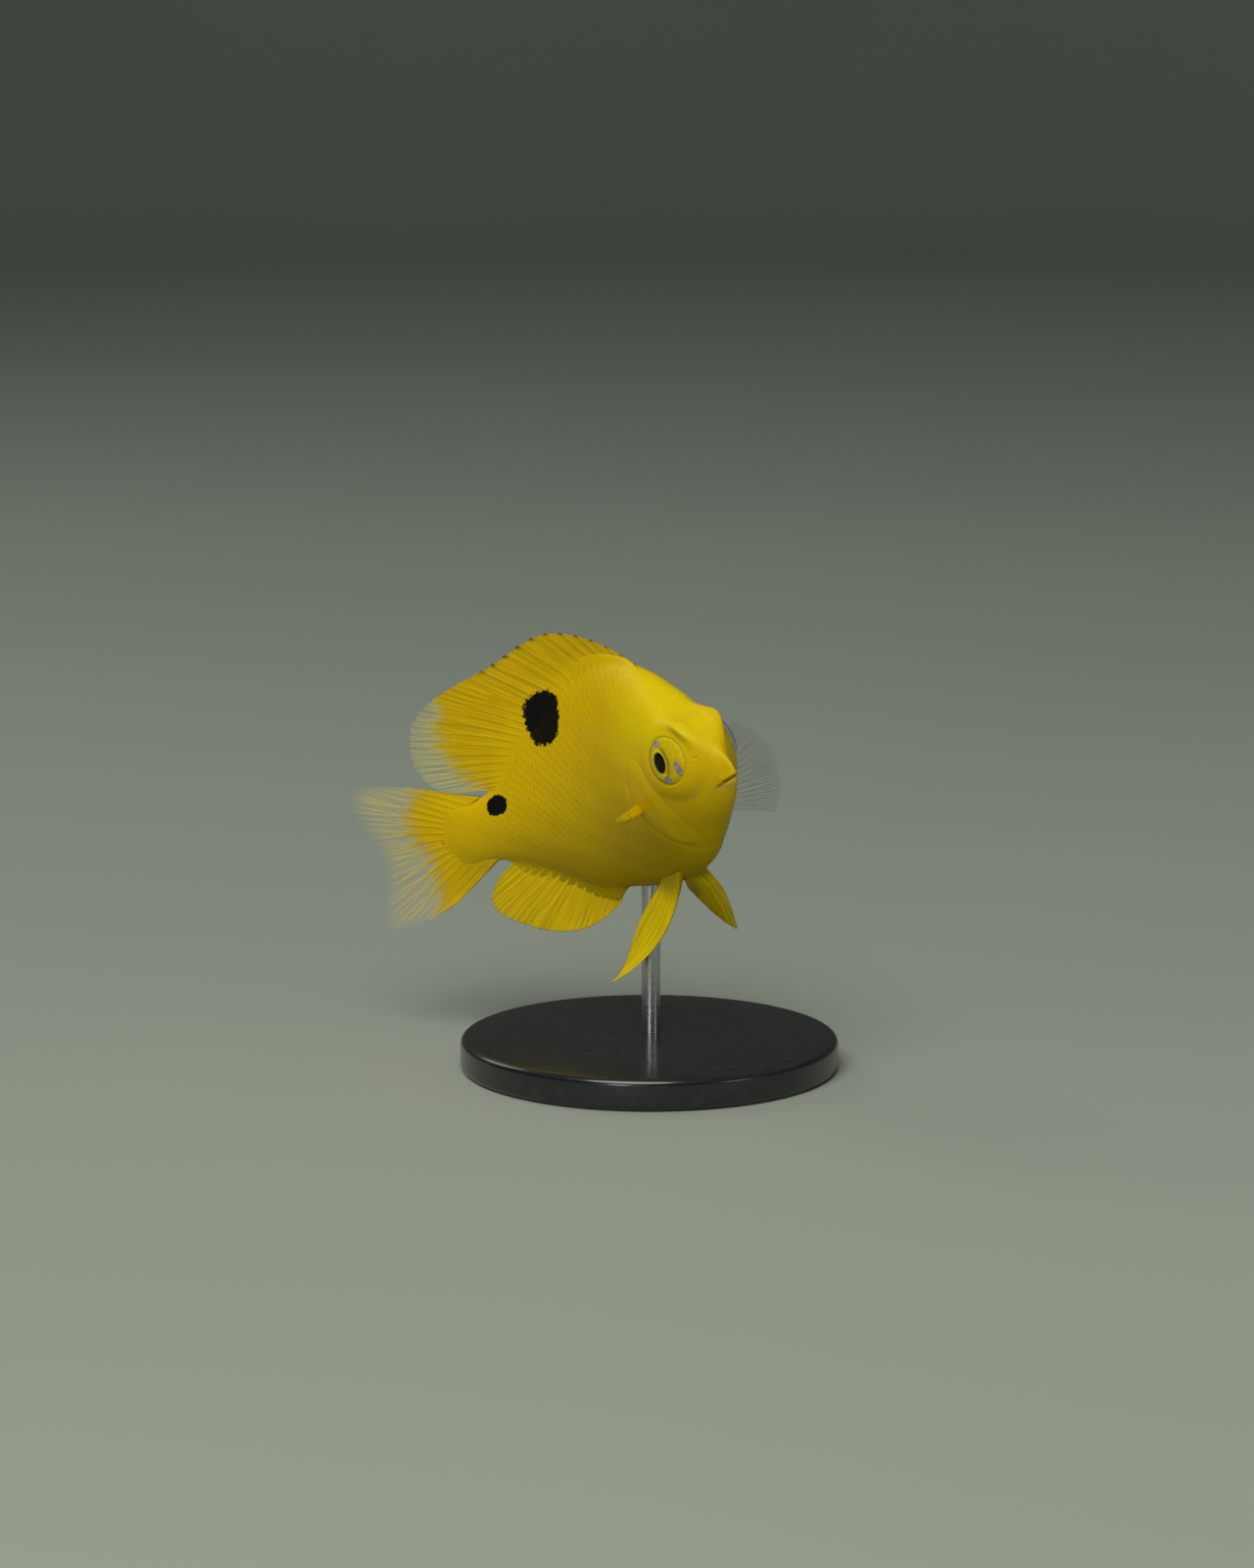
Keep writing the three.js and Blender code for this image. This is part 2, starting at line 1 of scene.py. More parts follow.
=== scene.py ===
# %% [markdown]
# # A young threespot damselfish on a display stand
# This lesson dresses the plain solids of a small yellow sea fish. The solids stay as the frame. Every
# visible piece is made here in mesh code, in the same place, with finer shapes and its own finish.
# The fish is first drawn straight, in millimetres, with its snout at the origin. Then its spine is bent,
# and last it is turned into its pose above the stand. Drawing it straight keeps each shape simple: the
# distance behind the snout, the side and the height say where everything is.

import json
import math

import bpy
import numpy as np
from mathutils import Matrix, Vector

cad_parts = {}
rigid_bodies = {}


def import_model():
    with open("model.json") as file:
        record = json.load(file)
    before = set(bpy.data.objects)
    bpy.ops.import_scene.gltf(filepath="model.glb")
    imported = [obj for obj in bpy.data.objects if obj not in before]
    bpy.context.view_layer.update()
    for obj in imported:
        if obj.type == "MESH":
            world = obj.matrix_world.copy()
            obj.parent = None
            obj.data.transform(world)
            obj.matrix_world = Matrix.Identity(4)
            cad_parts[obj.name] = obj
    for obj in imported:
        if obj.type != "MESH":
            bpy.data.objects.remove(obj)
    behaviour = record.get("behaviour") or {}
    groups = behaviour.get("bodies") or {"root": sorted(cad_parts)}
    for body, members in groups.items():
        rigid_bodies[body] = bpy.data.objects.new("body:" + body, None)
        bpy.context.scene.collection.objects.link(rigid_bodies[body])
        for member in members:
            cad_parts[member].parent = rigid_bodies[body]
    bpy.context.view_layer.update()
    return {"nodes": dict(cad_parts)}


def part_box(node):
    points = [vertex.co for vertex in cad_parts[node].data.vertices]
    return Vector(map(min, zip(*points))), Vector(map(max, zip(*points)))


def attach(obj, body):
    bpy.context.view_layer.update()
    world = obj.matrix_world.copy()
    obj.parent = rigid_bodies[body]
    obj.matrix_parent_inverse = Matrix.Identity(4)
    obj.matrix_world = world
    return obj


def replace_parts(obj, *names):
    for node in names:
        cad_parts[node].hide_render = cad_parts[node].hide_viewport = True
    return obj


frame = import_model()
MM = 0.001
print("nodes in the frame:", len(frame["nodes"]))

# %% [markdown]
# ## Soft steps and bells
# A living body has no sharp changes. Two small functions shape nearly everything on it: a step that
# rises softly from 0 to 1, and a bell that is 1 at a place and falls off on both sides. Sculpting
# brushes work the same way, but a function gives the same result each time and on both flanks.

# %% Steps and bells


def smoothstep(value, start, end):
    part = np.clip((value - start) / (end - start), 0.0, 1.0)
    return part * part * (3.0 - 2.0 * part)


def bell(distance, spread, power=2):
    return np.exp(-(np.abs(distance / spread) ** power))


print("half a step:", smoothstep(0.5, 0, 1), "and a bell at its spread:", round(float(bell(1, 1)), 2))

# %% [markdown]
# ## The bend of the spine and the pose
# The real fish is turning: its tail swings to its right while it swims nose up and leans a little.
# The spine could be an armature with bones, but one smooth function of the distance behind the snout
# does the same, is exact for every vertex, and leaves nothing to pose later.

# %% The bend of the spine
BODY_LENGTH = 40.0
FRONT_BEND = math.radians(31.0)
FRONT_BEND_PART = (0.25, 0.75)      # where it starts and ends, over the length of the body
TAIL_BEND = math.radians(5.4)
TAIL_BEND_PART = (0.65, 1.15)
SPINE_STEP = 0.05
SPINE_REACH = 60.0                  # past the longest ray of the tail


def spine_turn(place):
    part = place / BODY_LENGTH
    return FRONT_BEND * smoothstep(part, *FRONT_BEND_PART) + TAIL_BEND * smoothstep(part, *TAIL_BEND_PART)


spine_places = np.arange(0.0, SPINE_REACH, SPINE_STEP)
spine_turns = spine_turn(spine_places[:-1] + SPINE_STEP / 2)
spine_x = np.concatenate([[0.0], np.cumsum(-np.cos(spine_turns)) * SPINE_STEP])
spine_y = np.concatenate([[0.0], np.cumsum(-np.sin(spine_turns)) * SPINE_STEP])
print("tail turned by", round(math.degrees(spine_turn(BODY_LENGTH)), 1), "degrees")

# %% The pose
NOSE_UP = math.radians(13.6)
LEAN = math.radians(13.7)
HEAD_ROLL = math.radians(3.0)       # the head leans a little more than the body
NECK = (5.0, 13.0)                  # where that extra lean dies away
SNOUT_PLACE = np.array([-0.5, -17.5, 31.5])


def bend(points, ride_at=None):
    """Straight points onto the bent fish, or with the spine's turn at one place only."""
    place = -points[:, 0] if ride_at is None else np.full(len(points), ride_at)
    ahead = np.where(place < 0, -place, 0.0) if ride_at is None else points[:, 0] + ride_at
    turn = spine_turn(place)
    twist = HEAD_ROLL * (1 - smoothstep(place, *NECK))
    side = points[:, 1] * np.cos(twist) - points[:, 2] * np.sin(twist)
    height = points[:, 1] * np.sin(twist) + points[:, 2] * np.cos(twist)
    x = np.interp(place, spine_places, spine_x) + ahead * np.cos(turn) - side * np.sin(turn)
    y = np.interp(place, spine_places, spine_y) + ahead * np.sin(turn) + side * np.cos(turn)
    return np.column_stack([x, y, height])


heading = Matrix.Rotation(math.radians(-90), 3, "Z")
pitch = Matrix.Rotation(-NOSE_UP, 3, "Y")
roll = Matrix.Rotation(LEAN, 3, "X")
pose_matrix = np.array(heading @ pitch @ roll)


def into_pose(points, ride_at=None):
    """Straight millimetres to metres in the frame."""
    return (bend(points, ride_at) @ pose_matrix.T + SNOUT_PLACE) * MM


print("snout at", [round(float(value), 4) for value in into_pose(np.zeros((1, 3)))[0]], "m")

# %% [markdown]
# ## The outline of the body
# A damselfish is deep and thin. Three curves over the distance behind the snout hold its back, its belly
# and its half width. They run over the square root of that distance, so that the nose comes out round.
# Loose control points in a curve object would do too, but named stations are easy to read and to change.

# %% Curves through stations


def smooth_through(stations):
    """A smooth curve through (place, value) stations, as a function of the place."""
    places = np.array([station[0] for station in stations], float)
    values = np.array([station[1] for station in stations], float)
    before = np.maximum(np.arange(len(places)) - 1, 0)
    after = np.minimum(np.arange(len(places)) + 1, len(places) - 1)
    slopes = (values[after] - values[before]) / (places[after] - places[before])

    def curve(place):
        place = np.asarray(place, float)
        i = np.clip(np.searchsorted(places, place, side="right") - 1, 0, len(places) - 2)
        span = places[i + 1] - places[i]
        t = np.clip((place - places[i]) / span, 0.0, 1.0)
        rise = t * t * (3 - 2 * t)
        leave = t * (1 - t) ** 2 * span * slopes[i]
        arrive = t * t * (t - 1) * span * slopes[i + 1]
        return values[i] * (1 - rise) + values[i + 1] * rise + leave + arrive

    return curve


def round_nosed(stations):
    curve = smooth_through([(math.sqrt(place), value) for place, value in stations])
    return lambda place: curve(np.sqrt(np.maximum(place, 0.0)))


print("a curve from 0 to 1 has", float(smooth_through([(0, 0), (1, 1)])(0.5)), "in its middle")

# %% Outline curves
back_line = round_nosed([
    (0, 0), (1.2, 1.88), (3.2, 4.9), (6, 6.45), (9, 8.96), (12, 10.9), (16, 11.9),
    (20, 11.6), (25, 9.9), (30, 7.0), (34, 4.0), (37, 3.05), (40, 3.2), (41, 3.5), (43, 4.4),
])
belly_line = round_nosed([
    (0, 0), (1.2, -1.9), (3.2, -3.5), (6, -5.25), (10, -8.1), (14, -9.3), (18, -9.6),
    (23, -9.1), (27, -8.0), (31, -5.6), (34.5, -3.9), (37, -3.3), (40, -3.3), (41, -3.6), (43, -4.4),
])
half_width = round_nosed([
    (0, 0), (1.2, 0.68), (3.2, 1.78), (6, 3.2), (10, 4.2), (14, 4.4), (18, 4.1),
    (22, 3.5), (26, 2.8), (30, 2.0), (34, 1.35), (38, 0.95), (40, 0.7), (41.4, 0.32), (43, 0.05),
])
# how much narrower than an oval the body is along its back and along its belly
narrow_above = smooth_through([(0, 0.05), (8, 0.12), (16, 0.24), (40, 0.1)])
narrow_below = smooth_through([(0, 0.05), (4, 0.22), (9, 0.34), (18, 0.28), (40, 0.1)])
print("depth of the body:", round(float(back_line(16) - belly_line(16)), 1), "mm")

# %% [markdown]
# ## The skin
# The flesh solids of the frame are parted by thin cuts. One skin stands for all of them, so no seam
# shows. It is a tube of rings, closer at the snout. Swellings for the brows and the lips are added to
# it, low fleshy ridges carry the back and belly fins, and grooves part the mouth and the gill cover.
# A sculpted mesh could look the same, but formulas keep both sides alike.

# %% Ridges and forehead
RIDGE_ANGLE = math.radians(5.5)
FILLET = 0.5                 # height of the soft foot beside each ridge
FILLET_ANGLE = math.radians(14.0)


def fin_window(place, start, end):
    """1 along the base of a fin, with soft ends."""
    return smoothstep(place, start - 1.2, start + 1.2) * (1 - smoothstep(place, end - 0.6, end + 1.6))


def broad_forehead(place):
    """1 where the forehead is broad: it rises in two steps behind the lips and ends at the nape."""
    rise = (smoothstep(place, 0.6, 2.4) + smoothstep(place, 2.4, 5.5)) / 2
    return rise * (1 - smoothstep(place, 6.0, 12.0))


def fin_ridge(off_line, tall):
    """A ridge with a soft foot, over the angle from the middle line."""
    return tall * bell(off_line, RIDGE_ANGLE) + FILLET * bell(off_line, FILLET_ANGLE)


print("forehead at 4 mm is broad by", round(float(broad_forehead(4.0)), 2))

# %% The bare body
ROOT_FROM = 39.0             # behind this place the end of the scaly tail root is rounded
ROOT_ROUNDING = 0.128
ROOT_HALF = 5.0
FOREHEAD_FLAT = 0.5          # how much squarer the upper half of the head is than an oval
DORSAL_RIDGE = 1.3           # height of the fleshy ridge under the back fin
DORSAL_WINDOW = (12.6, 34.6)
DORSAL_RISE = (13.0, 22.0)   # the ridge is low over the nape and rises to its full height here
DORSAL_LOW = 0.35
ANAL_RIDGE = 1.1
ANAL_WINDOW = (24.6, 34.8)


def body_point(place, angle):
    """The bare body in straight millimetres, with the ridges that carry the fins."""
    top = back_line(place)
    bottom = belly_line(place)
    side = np.sin(angle)
    narrowing = 1 - np.where(side > 0, narrow_above(place), narrow_below(place)) * side * side
    z = (top + bottom) / 2 + (top - bottom) / 2 * side
    rounded = place - ROOT_ROUNDING * np.maximum(place - ROOT_FROM, 0) * (1 - (z / ROOT_HALF) ** 2)
    squareness = 1 - FOREHEAD_FLAT * broad_forehead(place) * (side > 0)
    across = np.sign(np.cos(angle)) * np.abs(np.cos(angle)) ** squareness
    y = half_width(rounded) * across * narrowing
    dorsal = fin_window(place, *DORSAL_WINDOW)
    dorsal = dorsal * (DORSAL_LOW + (1 - DORSAL_LOW) * smoothstep(place, *DORSAL_RISE))
    anal = fin_window(place, *ANAL_WINDOW)
    z = z + dorsal * fin_ridge(angle - math.pi / 2, DORSAL_RIDGE)
    z = z - anal * fin_ridge(angle - math.pi * 1.5, ANAL_RIDGE)
    return np.stack([-place, y, z], axis=-1)


print("half width at the deepest place:", round(float(body_point(np.array(16.0), 0.0)[1]), 1), "mm")

# %% Rings of the skin
SKIN_END = 42.4
SKIN_RINGS = 290
SKIN_SIDES = 320
ring_part = np.arange(1, SKIN_RINGS + 1) / SKIN_RINGS
side_angle = np.arange(SKIN_SIDES) / SKIN_SIDES * 2 * math.pi
skin_place, skin_angle = np.meshgrid(SKIN_END * ring_part ** 2, side_angle, indexing="ij")
skin_grid = body_point(skin_place, skin_angle)
print("points on the skin:", skin_grid.shape[0] * skin_grid.shape[1])

# %% [markdown]
# ## Brows and lips
# From the front the most telling form is the bony brow that stands out over each eye. It is a soft arc
# round the front and top of the eye, and it also rises a little above the forehead. The lips are softer
# swellings along the mouth. Pulling points with a brush would do once, but bells about named points and
# lines can be tuned by one value at a time and stay alike on both sides.

# %% Swellings of the head
EYE_AT = np.array([-5.75, 3.1, 2.5])
MOUTH_HEIGHT = -0.64
MOUTH_DROP = 0.22            # how steeply the cleft of the mouth slants down to the rear
MOUTH_REACH = 1.25
LIP_SWELL = 0.16
LIP_SPREAD = 0.75
SWELL_FULL = 0.8             # swellings fade where the skin is closer than this to the middle
BROW_REACH = 3.5             # the arc's distance from the middle of the eye
BROW_TURN = math.radians(44)
BROW_ARC = math.radians(38)
BROW_SWELL = 1.65
BROW_SPREAD = 1.4
BROW_RISE = 0.26


def brow_bell(points):
    """1 along the arc of the brow, less around it."""
    ahead, above = points[..., 0] - EYE_AT[0], points[..., 2] - EYE_AT[2]
    turn = np.arctan2(above, ahead) - BROW_TURN
    return bell(np.hypot(ahead, above) - BROW_REACH, BROW_SPREAD) * bell(turn, BROW_ARC)


def over_mouth(points):
    """Height over the slanting cleft of the mouth."""
    return points[..., 2] - MOUTH_HEIGHT - MOUTH_DROP * points[..., 0]


def head_swell(points):
    place, y = -points[..., 0], points[..., 1]
    ahead = 1 - smoothstep(place, MOUTH_REACH - 0.6, MOUTH_REACH + 1.2)
    lips = LIP_SWELL * bell(over_mouth(points), LIP_SPREAD) * ahead
    brow = BROW_SWELL * brow_bell(points)
    return np.sign(y) * (brow + lips) * np.minimum(np.abs(y) / SWELL_FULL, 1)


skin_grid[..., 1] += head_swell(skin_grid)
skin_grid[..., 2] += BROW_RISE * brow_bell(skin_grid) * smoothstep(np.abs(skin_grid[..., 1]), 0.4, 1.6)
print("widest place of the head:", round(float(skin_grid[skin_place < 8, 1].max()), 2), "mm from its middle")

# %% Normals of the skin


def unit(vectors):
    return vectors / np.maximum(np.linalg.norm(vectors, axis=-1, keepdims=True), 1e-9)


def grid_normals(grid):
    """Outward normals of a ring grid whose sides close round."""
    across = np.roll(grid, -1, axis=1) - np.roll(grid, 1, axis=1)
    return unit(np.cross(np.gradient(grid, axis=0), across))


skin_normal = grid_normals(skin_grid)
top_normals = skin_normal[:, SKIN_SIDES // 4]
print("normals along the back point up:", bool(top_normals[..., 2].mean() > 0))

# %% [markdown]
# ## Mouth, nostrils and gill cover
# The mouth is small, with soft lips parted by a short slanting cleft. Each side has one nostril. The
# gill cover is a stiff plate whose rear edge stands free of the flank. Cutting them with booleans would
# leave hard edges. A height field along the normals gives soft lips and a thin shadow line instead.

# %% Relief of the mouth and nostrils
MOUTH_RELIEF = [             # height of a crease or lip, how far over the cleft it runs, and its spread
    (-0.22, 0.0, 0.11), (0.05, 0.32, 0.22), (0.05, -0.34, 0.24), (-0.03, 0.85, 0.25), (-0.03, -0.85, 0.25),
]
NOSTRIL_AT = (2.7, 2.0)      # behind the snout and over its height
NOSTRIL_PIT = 0.16
NOSTRIL_LIP = 0.03
NOSTRIL_LIP_AT = 0.26        # from its middle


def mouth_relief(points):
    """The cleft, a full lip above and below it, and a shallow fold round both."""
    height = over_mouth(points)
    ahead = 1 - smoothstep(-points[..., 0], MOUTH_REACH - 0.1, MOUTH_REACH + 0.4)
    return ahead * sum(tall * bell(height - at, spread) for tall, at, spread in MOUTH_RELIEF)


def nostril_relief(place, z):
    """A small pit with a raised lip."""
    reach = np.hypot(place - NOSTRIL_AT[0], z - NOSTRIL_AT[1])
    return NOSTRIL_LIP * bell(reach - NOSTRIL_LIP_AT, 0.1) - NOSTRIL_PIT * bell(reach, 0.15)


print("creases and lips of the mouth:", len(MOUTH_RELIEF))

# %% Outline of the gill cover
GILL_AT = (9.6, -1.4)
GILL_LONG = (2.7, 1.5)       # to the rear and to the front
GILL_TALL = (4.8, 4.6)       # above and below
GILL_TIP = 0.5
GILL_SLANT = 0.25
FAR_OFF = 5.0


def gill_outline(steps=120):
    """The edge of the gill cover seen from the side: distance behind the snout and height."""
    turn = np.arange(steps) / steps * 2 * math.pi
    aft, up = np.cos(turn), np.sin(turn)
    height = np.where(up > 0, *GILL_TALL) * up
    place = np.where(aft > 0, *GILL_LONG) * aft + GILL_TIP * np.maximum(aft, 0) ** 6 + GILL_SLANT * height
    return np.column_stack([place, height]) + GILL_AT


def distance_to(outline, places, heights, closed=True):
    """Distance in the side view from points to a line, less than 0 inside a closed one."""
    starts = outline if closed else outline[:-1]
    ends = np.roll(outline, -1, axis=0) if closed else outline[1:]
    nearest = np.full(places.shape, 1e9)
    inside = np.zeros(places.shape, bool)
    for (ax, az), (bx, bz) in zip(starts, ends):
        dx, dz = bx - ax, bz - az
        part = np.clip(((places - ax) * dx + (heights - az) * dz) / (dx * dx + dz * dz), 0, 1)
        nearest = np.minimum(nearest, np.hypot(places - ax - part * dx, heights - az - part * dz))
        if closed and abs(dz) > 1e-9:
            crosses = (az > heights) != (bz > heights)
            inside ^= crosses & (places < ax + dx * (heights - az) / dz)
    return np.where(inside, -nearest, nearest)


def distance_near(outline, place, z, near, closed=True):
    """The distance worked out only where near is true, and a large one elsewhere."""
    distance = np.full(place.shape, FAR_OFF)
    distance[near] = distance_to(outline, place[near], z[near], closed)
    return distance


print("gill cover from", gill_outline()[:, 0].min().round(1), "to", gill_outline()[:, 0].max().round(1), "mm")

# %% Relief of the head
GILL_PROUD = 0.12            # its rear edge stands proud, with a groove behind it
GILL_GROOVE = 0.1
GILL_CREASE = 0.05           # and the rest of its edge is a soft crease
GILL_REAR = (8.3, 10.3)      # behind the snout, where its edge starts to stand free
GILL_FREE = (-0.6, 2.4)      # and the height over which that ends
THROAT_EDGE = np.array([(9.9, -6.1), (8.6, -6.7), (7.2, -6.4), (6.0, -5.6)])
THROAT_CREASE = 0.06
UNEVENNESS = 0.012


def gill_relief(place, z):
    edge = distance_near(gill_outline(), place, z, (place > 4) & (place < 17))
    rear = smoothstep(place, *GILL_REAR) * (1 - smoothstep(z, *GILL_FREE))
    proud = GILL_PROUD * (1 - smoothstep(edge, -0.08, 0.16)) * smoothstep(edge, -3.5, -0.6)
    groove = GILL_GROOVE * bell(edge - 0.3, 0.2)
    return (proud - groove) * rear - GILL_CREASE * bell(edge, 0.3) * (1 - rear)


def head_relief(points):
    place, y, z = -points[..., 0], points[..., 1], points[..., 2]
    on_side = np.minimum(np.abs(y) / 0.5, 1)
    height = mouth_relief(points) + on_side * (nostril_relief(place, z) + gill_relief(place, z))
    # the edge of the gill skin runs on forward under the throat
    low = (place > 4) & (place < 12) & (z < -3)
    under = distance_near(THROAT_EDGE, place, z, low, closed=False)
    height = height - THROAT_CREASE * bell(under, 0.25)
    # slow unevenness, as on living skin
    wave = np.sin(place * 1.7 + z * 0.9) + np.sin(place * 0.8 - z * 1.6 + y)
    return height + UNEVENNESS * wave * smoothstep(place, 2, 6)


relief = head_relief(skin_grid)
skin_grid = skin_grid + skin_normal * relief[..., None]
print("deepest groove:", round(float(relief.min()), 2), "mm")

# %% [markdown]
# ## The sockets of the eyes
# Inside the ring of each eye the skin dips under the eyeball, and its edge lies softly against it.
# A hole cut in the skin would need a stitched rim. Pulling the skin behind the ball needs none.

# %% The plane of the eye
EYE_RADIUS = 2.2
EYE_FORWARD = math.radians(19)      # how far it is turned ahead and up from straight aside
EYE_UPWARD = math.radians(7)
EYE_FRONT = 0.5              # how far the iris stands out in its middle
EYE_FLATNESS = 2.4           # a higher power gives a flatter front
# the eye's own axes: forward in its plane, outward from it, upward in its plane
eye_ahead = np.array([math.cos(EYE_FORWARD), -math.sin(EYE_FORWARD), 0.0])
eye_out = np.array([math.sin(EYE_FORWARD) * math.cos(EYE_UPWARD),
                    math.cos(EYE_FORWARD) * math.cos(EYE_UPWARD), math.sin(EYE_UPWARD)])
eye_up = np.cross(eye_ahead, eye_out)


def eye_dome(reach):
    """How far the iris stands out of the plane of the eye at a distance from its middle."""
    return EYE_FRONT * np.sqrt(np.clip(1 - (reach / EYE_RADIUS) ** EYE_FLATNESS, 0, 1))


def eye_plane(points):
    """The side at which each point would lie in the plane of the eye, and its reach from the middle."""
    off = points - EYE_AT
    plane_y = EYE_AT[1] - (eye_out[0] * off[..., 0] + eye_out[2] * off[..., 2]) / eye_out[1]
    on_plane = np.stack([points[..., 0], plane_y, points[..., 2]], -1)
    return plane_y, np.linalg.norm(on_plane - EYE_AT, axis=-1)


print("the way the eye looks:", eye_out.round(2))

# %% Eye sockets
SOCKET_IN = 2.0
SOCKET_OUT = 2.3
SOCKET_GAP = 0.16            # how far the skin lies behind the iris at the socket's edge
SOCKET_DEPTH = 0.5           # and how much farther in its middle
RIM_AT = 2.35                # the skin comes up to the plane of the eye at this distance
RIM_FADE = 4.2               # and is as it was from here
RIM_LEVEL = 0.04
RIM_ROLL = 0.07              # height of the soft roll round the eye
RIM_ROLL_AT = 2.45
plane_y, from_eye = eye_plane(skin_grid)
out_now = np.abs(skin_grid[..., 1])
rim_y = plane_y + RIM_LEVEL + RIM_ROLL * bell(from_eye - RIM_ROLL_AT, 0.25)
on_rim = 1 - smoothstep(from_eye, RIM_AT, RIM_FADE)
out_now = out_now * (1 - on_rim) + rim_y * on_rim
behind_iris = SOCKET_GAP + SOCKET_DEPTH * (1 - smoothstep(from_eye, 1.2, 2.0))
socket_y = np.minimum(plane_y + eye_dome(from_eye) - behind_iris, out_now)
under_eye = 1 - smoothstep(from_eye, SOCKET_IN, SOCKET_OUT)
skin_grid[..., 1] = np.sign(skin_grid[..., 1]) * (out_now * (1 - under_eye) + socket_y * under_eye)
skin_normal = grid_normals(skin_grid)
print("points in the sockets:", int((from_eye < SOCKET_IN).sum()))

# %% [markdown]
# ## From points to meshes
# Each mesh keeps its straight place as a vector attribute named straight. Materials read it, so a spot or
# a clear margin sits on the same place of the fish on the skin, on every scale and on the fins. A second
# attribute, web, holds a piece's own coordinates: the ray and the way along it, or the place on the eye.
# A texture map would need a layout for every piece. The place itself needs none.

# %% Mesh objects


def mesh_object(name, points, faces, material):
    """A smooth mesh object from points in metres."""
    mesh = bpy.data.meshes.new(name)
    mesh.from_pydata(points.tolist(), [], faces)
    mesh.polygons.foreach_set("use_smooth", np.ones(len(mesh.polygons), bool))
    mesh.materials.append(material)
    mesh.update()
    made = bpy.data.objects.new(name, mesh)
    bpy.context.scene.collection.objects.link(made)
    print(name, "faces:", len(mesh.polygons))
    return made


def keep_vectors(mesh, name, vectors):
    kept = mesh.attributes.new(name, "FLOAT_VECTOR", "POINT")
    kept.data.foreach_set("vector", np.ascontiguousarray(vectors, np.float32).ravel())


def add_mesh(name, straight, faces, material, ride_at=None, web=None, uv=None):
    """A piece of the fish from its straight points."""
    made = mesh_object(name, into_pose(straight, ride_at), faces, material)
    mesh = made.data
    keep_vectors(mesh, "straight", straight)
    if web is not None:
        keep_vectors(mesh, "web", web)
    if uv is not None:
        layer = mesh.uv_layers.new(name="OFBake")
        corner = np.zeros(len(mesh.loops), np.int32)
        mesh.loops.foreach_get("vertex_index", corner)
        layer.data.foreach_set("uv", np.ascontiguousarray(uv[corner], np.float32).ravel())
    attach(made, "root")
    return made


# %% Faces of a tube


def tube_faces(rings, sides, closed_end=True):
    """Faces of a tube of rings, with one point before the first ring and one after the last."""
    ring = np.arange(rings - 1)[:, None] * sides
    side = np.arange(sides)[None, :]
    after = (side + 1) % sides
    quads = np.stack([ring + side, ring + after, ring + sides + after, ring + sides + side], -1) + 1
    last = 1 + (rings - 1) * sides
    end = 1 + rings * sides
    faces = quads.reshape(-1, 4).tolist()
    for i in range(sides):
        j = (i + 1) % sides
        faces.append([0, 1 + j, 1 + i])
        if closed_end:
            faces.append([end, last + i, last + j])
    return faces


print("faces of a tube of 3 rings of 8:", len(tube_faces(3, 8)))

# %% [markdown]
# ## Node helpers
# A material is a small graph. These helpers add a node, set its sockets and join them, so that each
# material below reads as one list of steps. A socket knows the tree that it belongs to, so the helpers
# ask only for the values. An add-on with ready groups would be shorter, but hides what it does.

# %% Nodes and sockets


def is_socket(value):
    return isinstance(value, bpy.types.NodeSocket)


def set_input(socket, value):
    """Joins another socket to this one, or gives it a plain value."""
    if is_socket(value):
        socket.id_data.links.new(value, socket)
    else:
        socket.default_value = value


def set_inputs(node, **values):
    """Sets inputs by their names, with _ for a space."""
    for key, value in values.items():
        set_input(node.inputs[key.replace("_", " ")], value)


def add_node(tree, kind, **values):
    made = tree.nodes.new(kind)
    set_inputs(made, **values)
    return made


def attribute(tree, name):
    made = tree.nodes.new("ShaderNodeAttribute")
    made.attribute_name = name
    return made.outputs["Vector"]


def new_material(name):
    made = bpy.data.materials.new(name)
    made.use_nodes = True
    return made, made.node_tree, made.node_tree.nodes["Principled BSDF"]


def rgb(red, green, blue):
    """A linear colour from the red, green and blue of a picture, 0 to 255."""
    values = [channel / 255 for channel in (red, green, blue)]
    return tuple(v / 12.92 if v <= 0.04045 else ((v + 0.055) / 1.055) ** 2.4 for v in values) + (1.0,)


print("a grey of 128 is", round(rgb(128, 128, 128)[0], 3), "as a linear value")

# %% Sums on sockets


def maths(operation, first, second=0.0):
    made = (first if is_socket(first) else second).id_data.nodes.new("ShaderNodeMath")
    made.operation = operation
    set_input(made.inputs[0], first)
    set_input(made.inputs[1], second)
    return made.outputs[0]


def plus(first, second):
    return maths("ADD", first, second)


def minus(first, second):
    return maths("SUBTRACT", first, second)


def times(first, second):
    return maths("MULTIPLY", first, second)


def over(first, second):
    return maths("DIVIDE", first, second)


def shaken(value, uneven, amount):
    """A value pushed up and down by a noise that runs from 0 to 1."""
    return plus(value, times(minus(uneven, 0.5), amount))


def oval(first, second, middle, half, power=2.0):
    """How far two values lie from the middle of an oval: 1 on its edge."""
    parts = [maths("POWER", maths("ABSOLUTE", over(minus(value, at), reach)), power)
             for value, at, reach in zip((first, second), middle, half)]
    return plus(*parts)


def ramp(value, start, end, low=0.0, high=1.0, kind="SMOOTHSTEP"):
    """A soft step from low to high while value runs from start to end."""
    made = value.id_data.nodes.new("ShaderNodeMapRange")
    made.interpolation_type = kind
    set_inputs(made, Value=value, From_Min=start, From_Max=end, To_Min=low, To_Max=high)
    return made.outputs[0]


# %% Colours and patterns on sockets


def mix(part, first, second):
    """The first colour where part is 0, the second where it is 1."""
    made = part.id_data.nodes.new("ShaderNodeMix")
    made.data_type = "RGBA"
    for index, value in ((0, part), (6, first), (7, second)):
        set_input(made.inputs[index], value)
    return made.outputs[2]


def split(vector):
    """The three numbers of a vector."""
    return add_node(vector.id_data, "ShaderNodeSeparateXYZ", Vector=vector).outputs[:3]


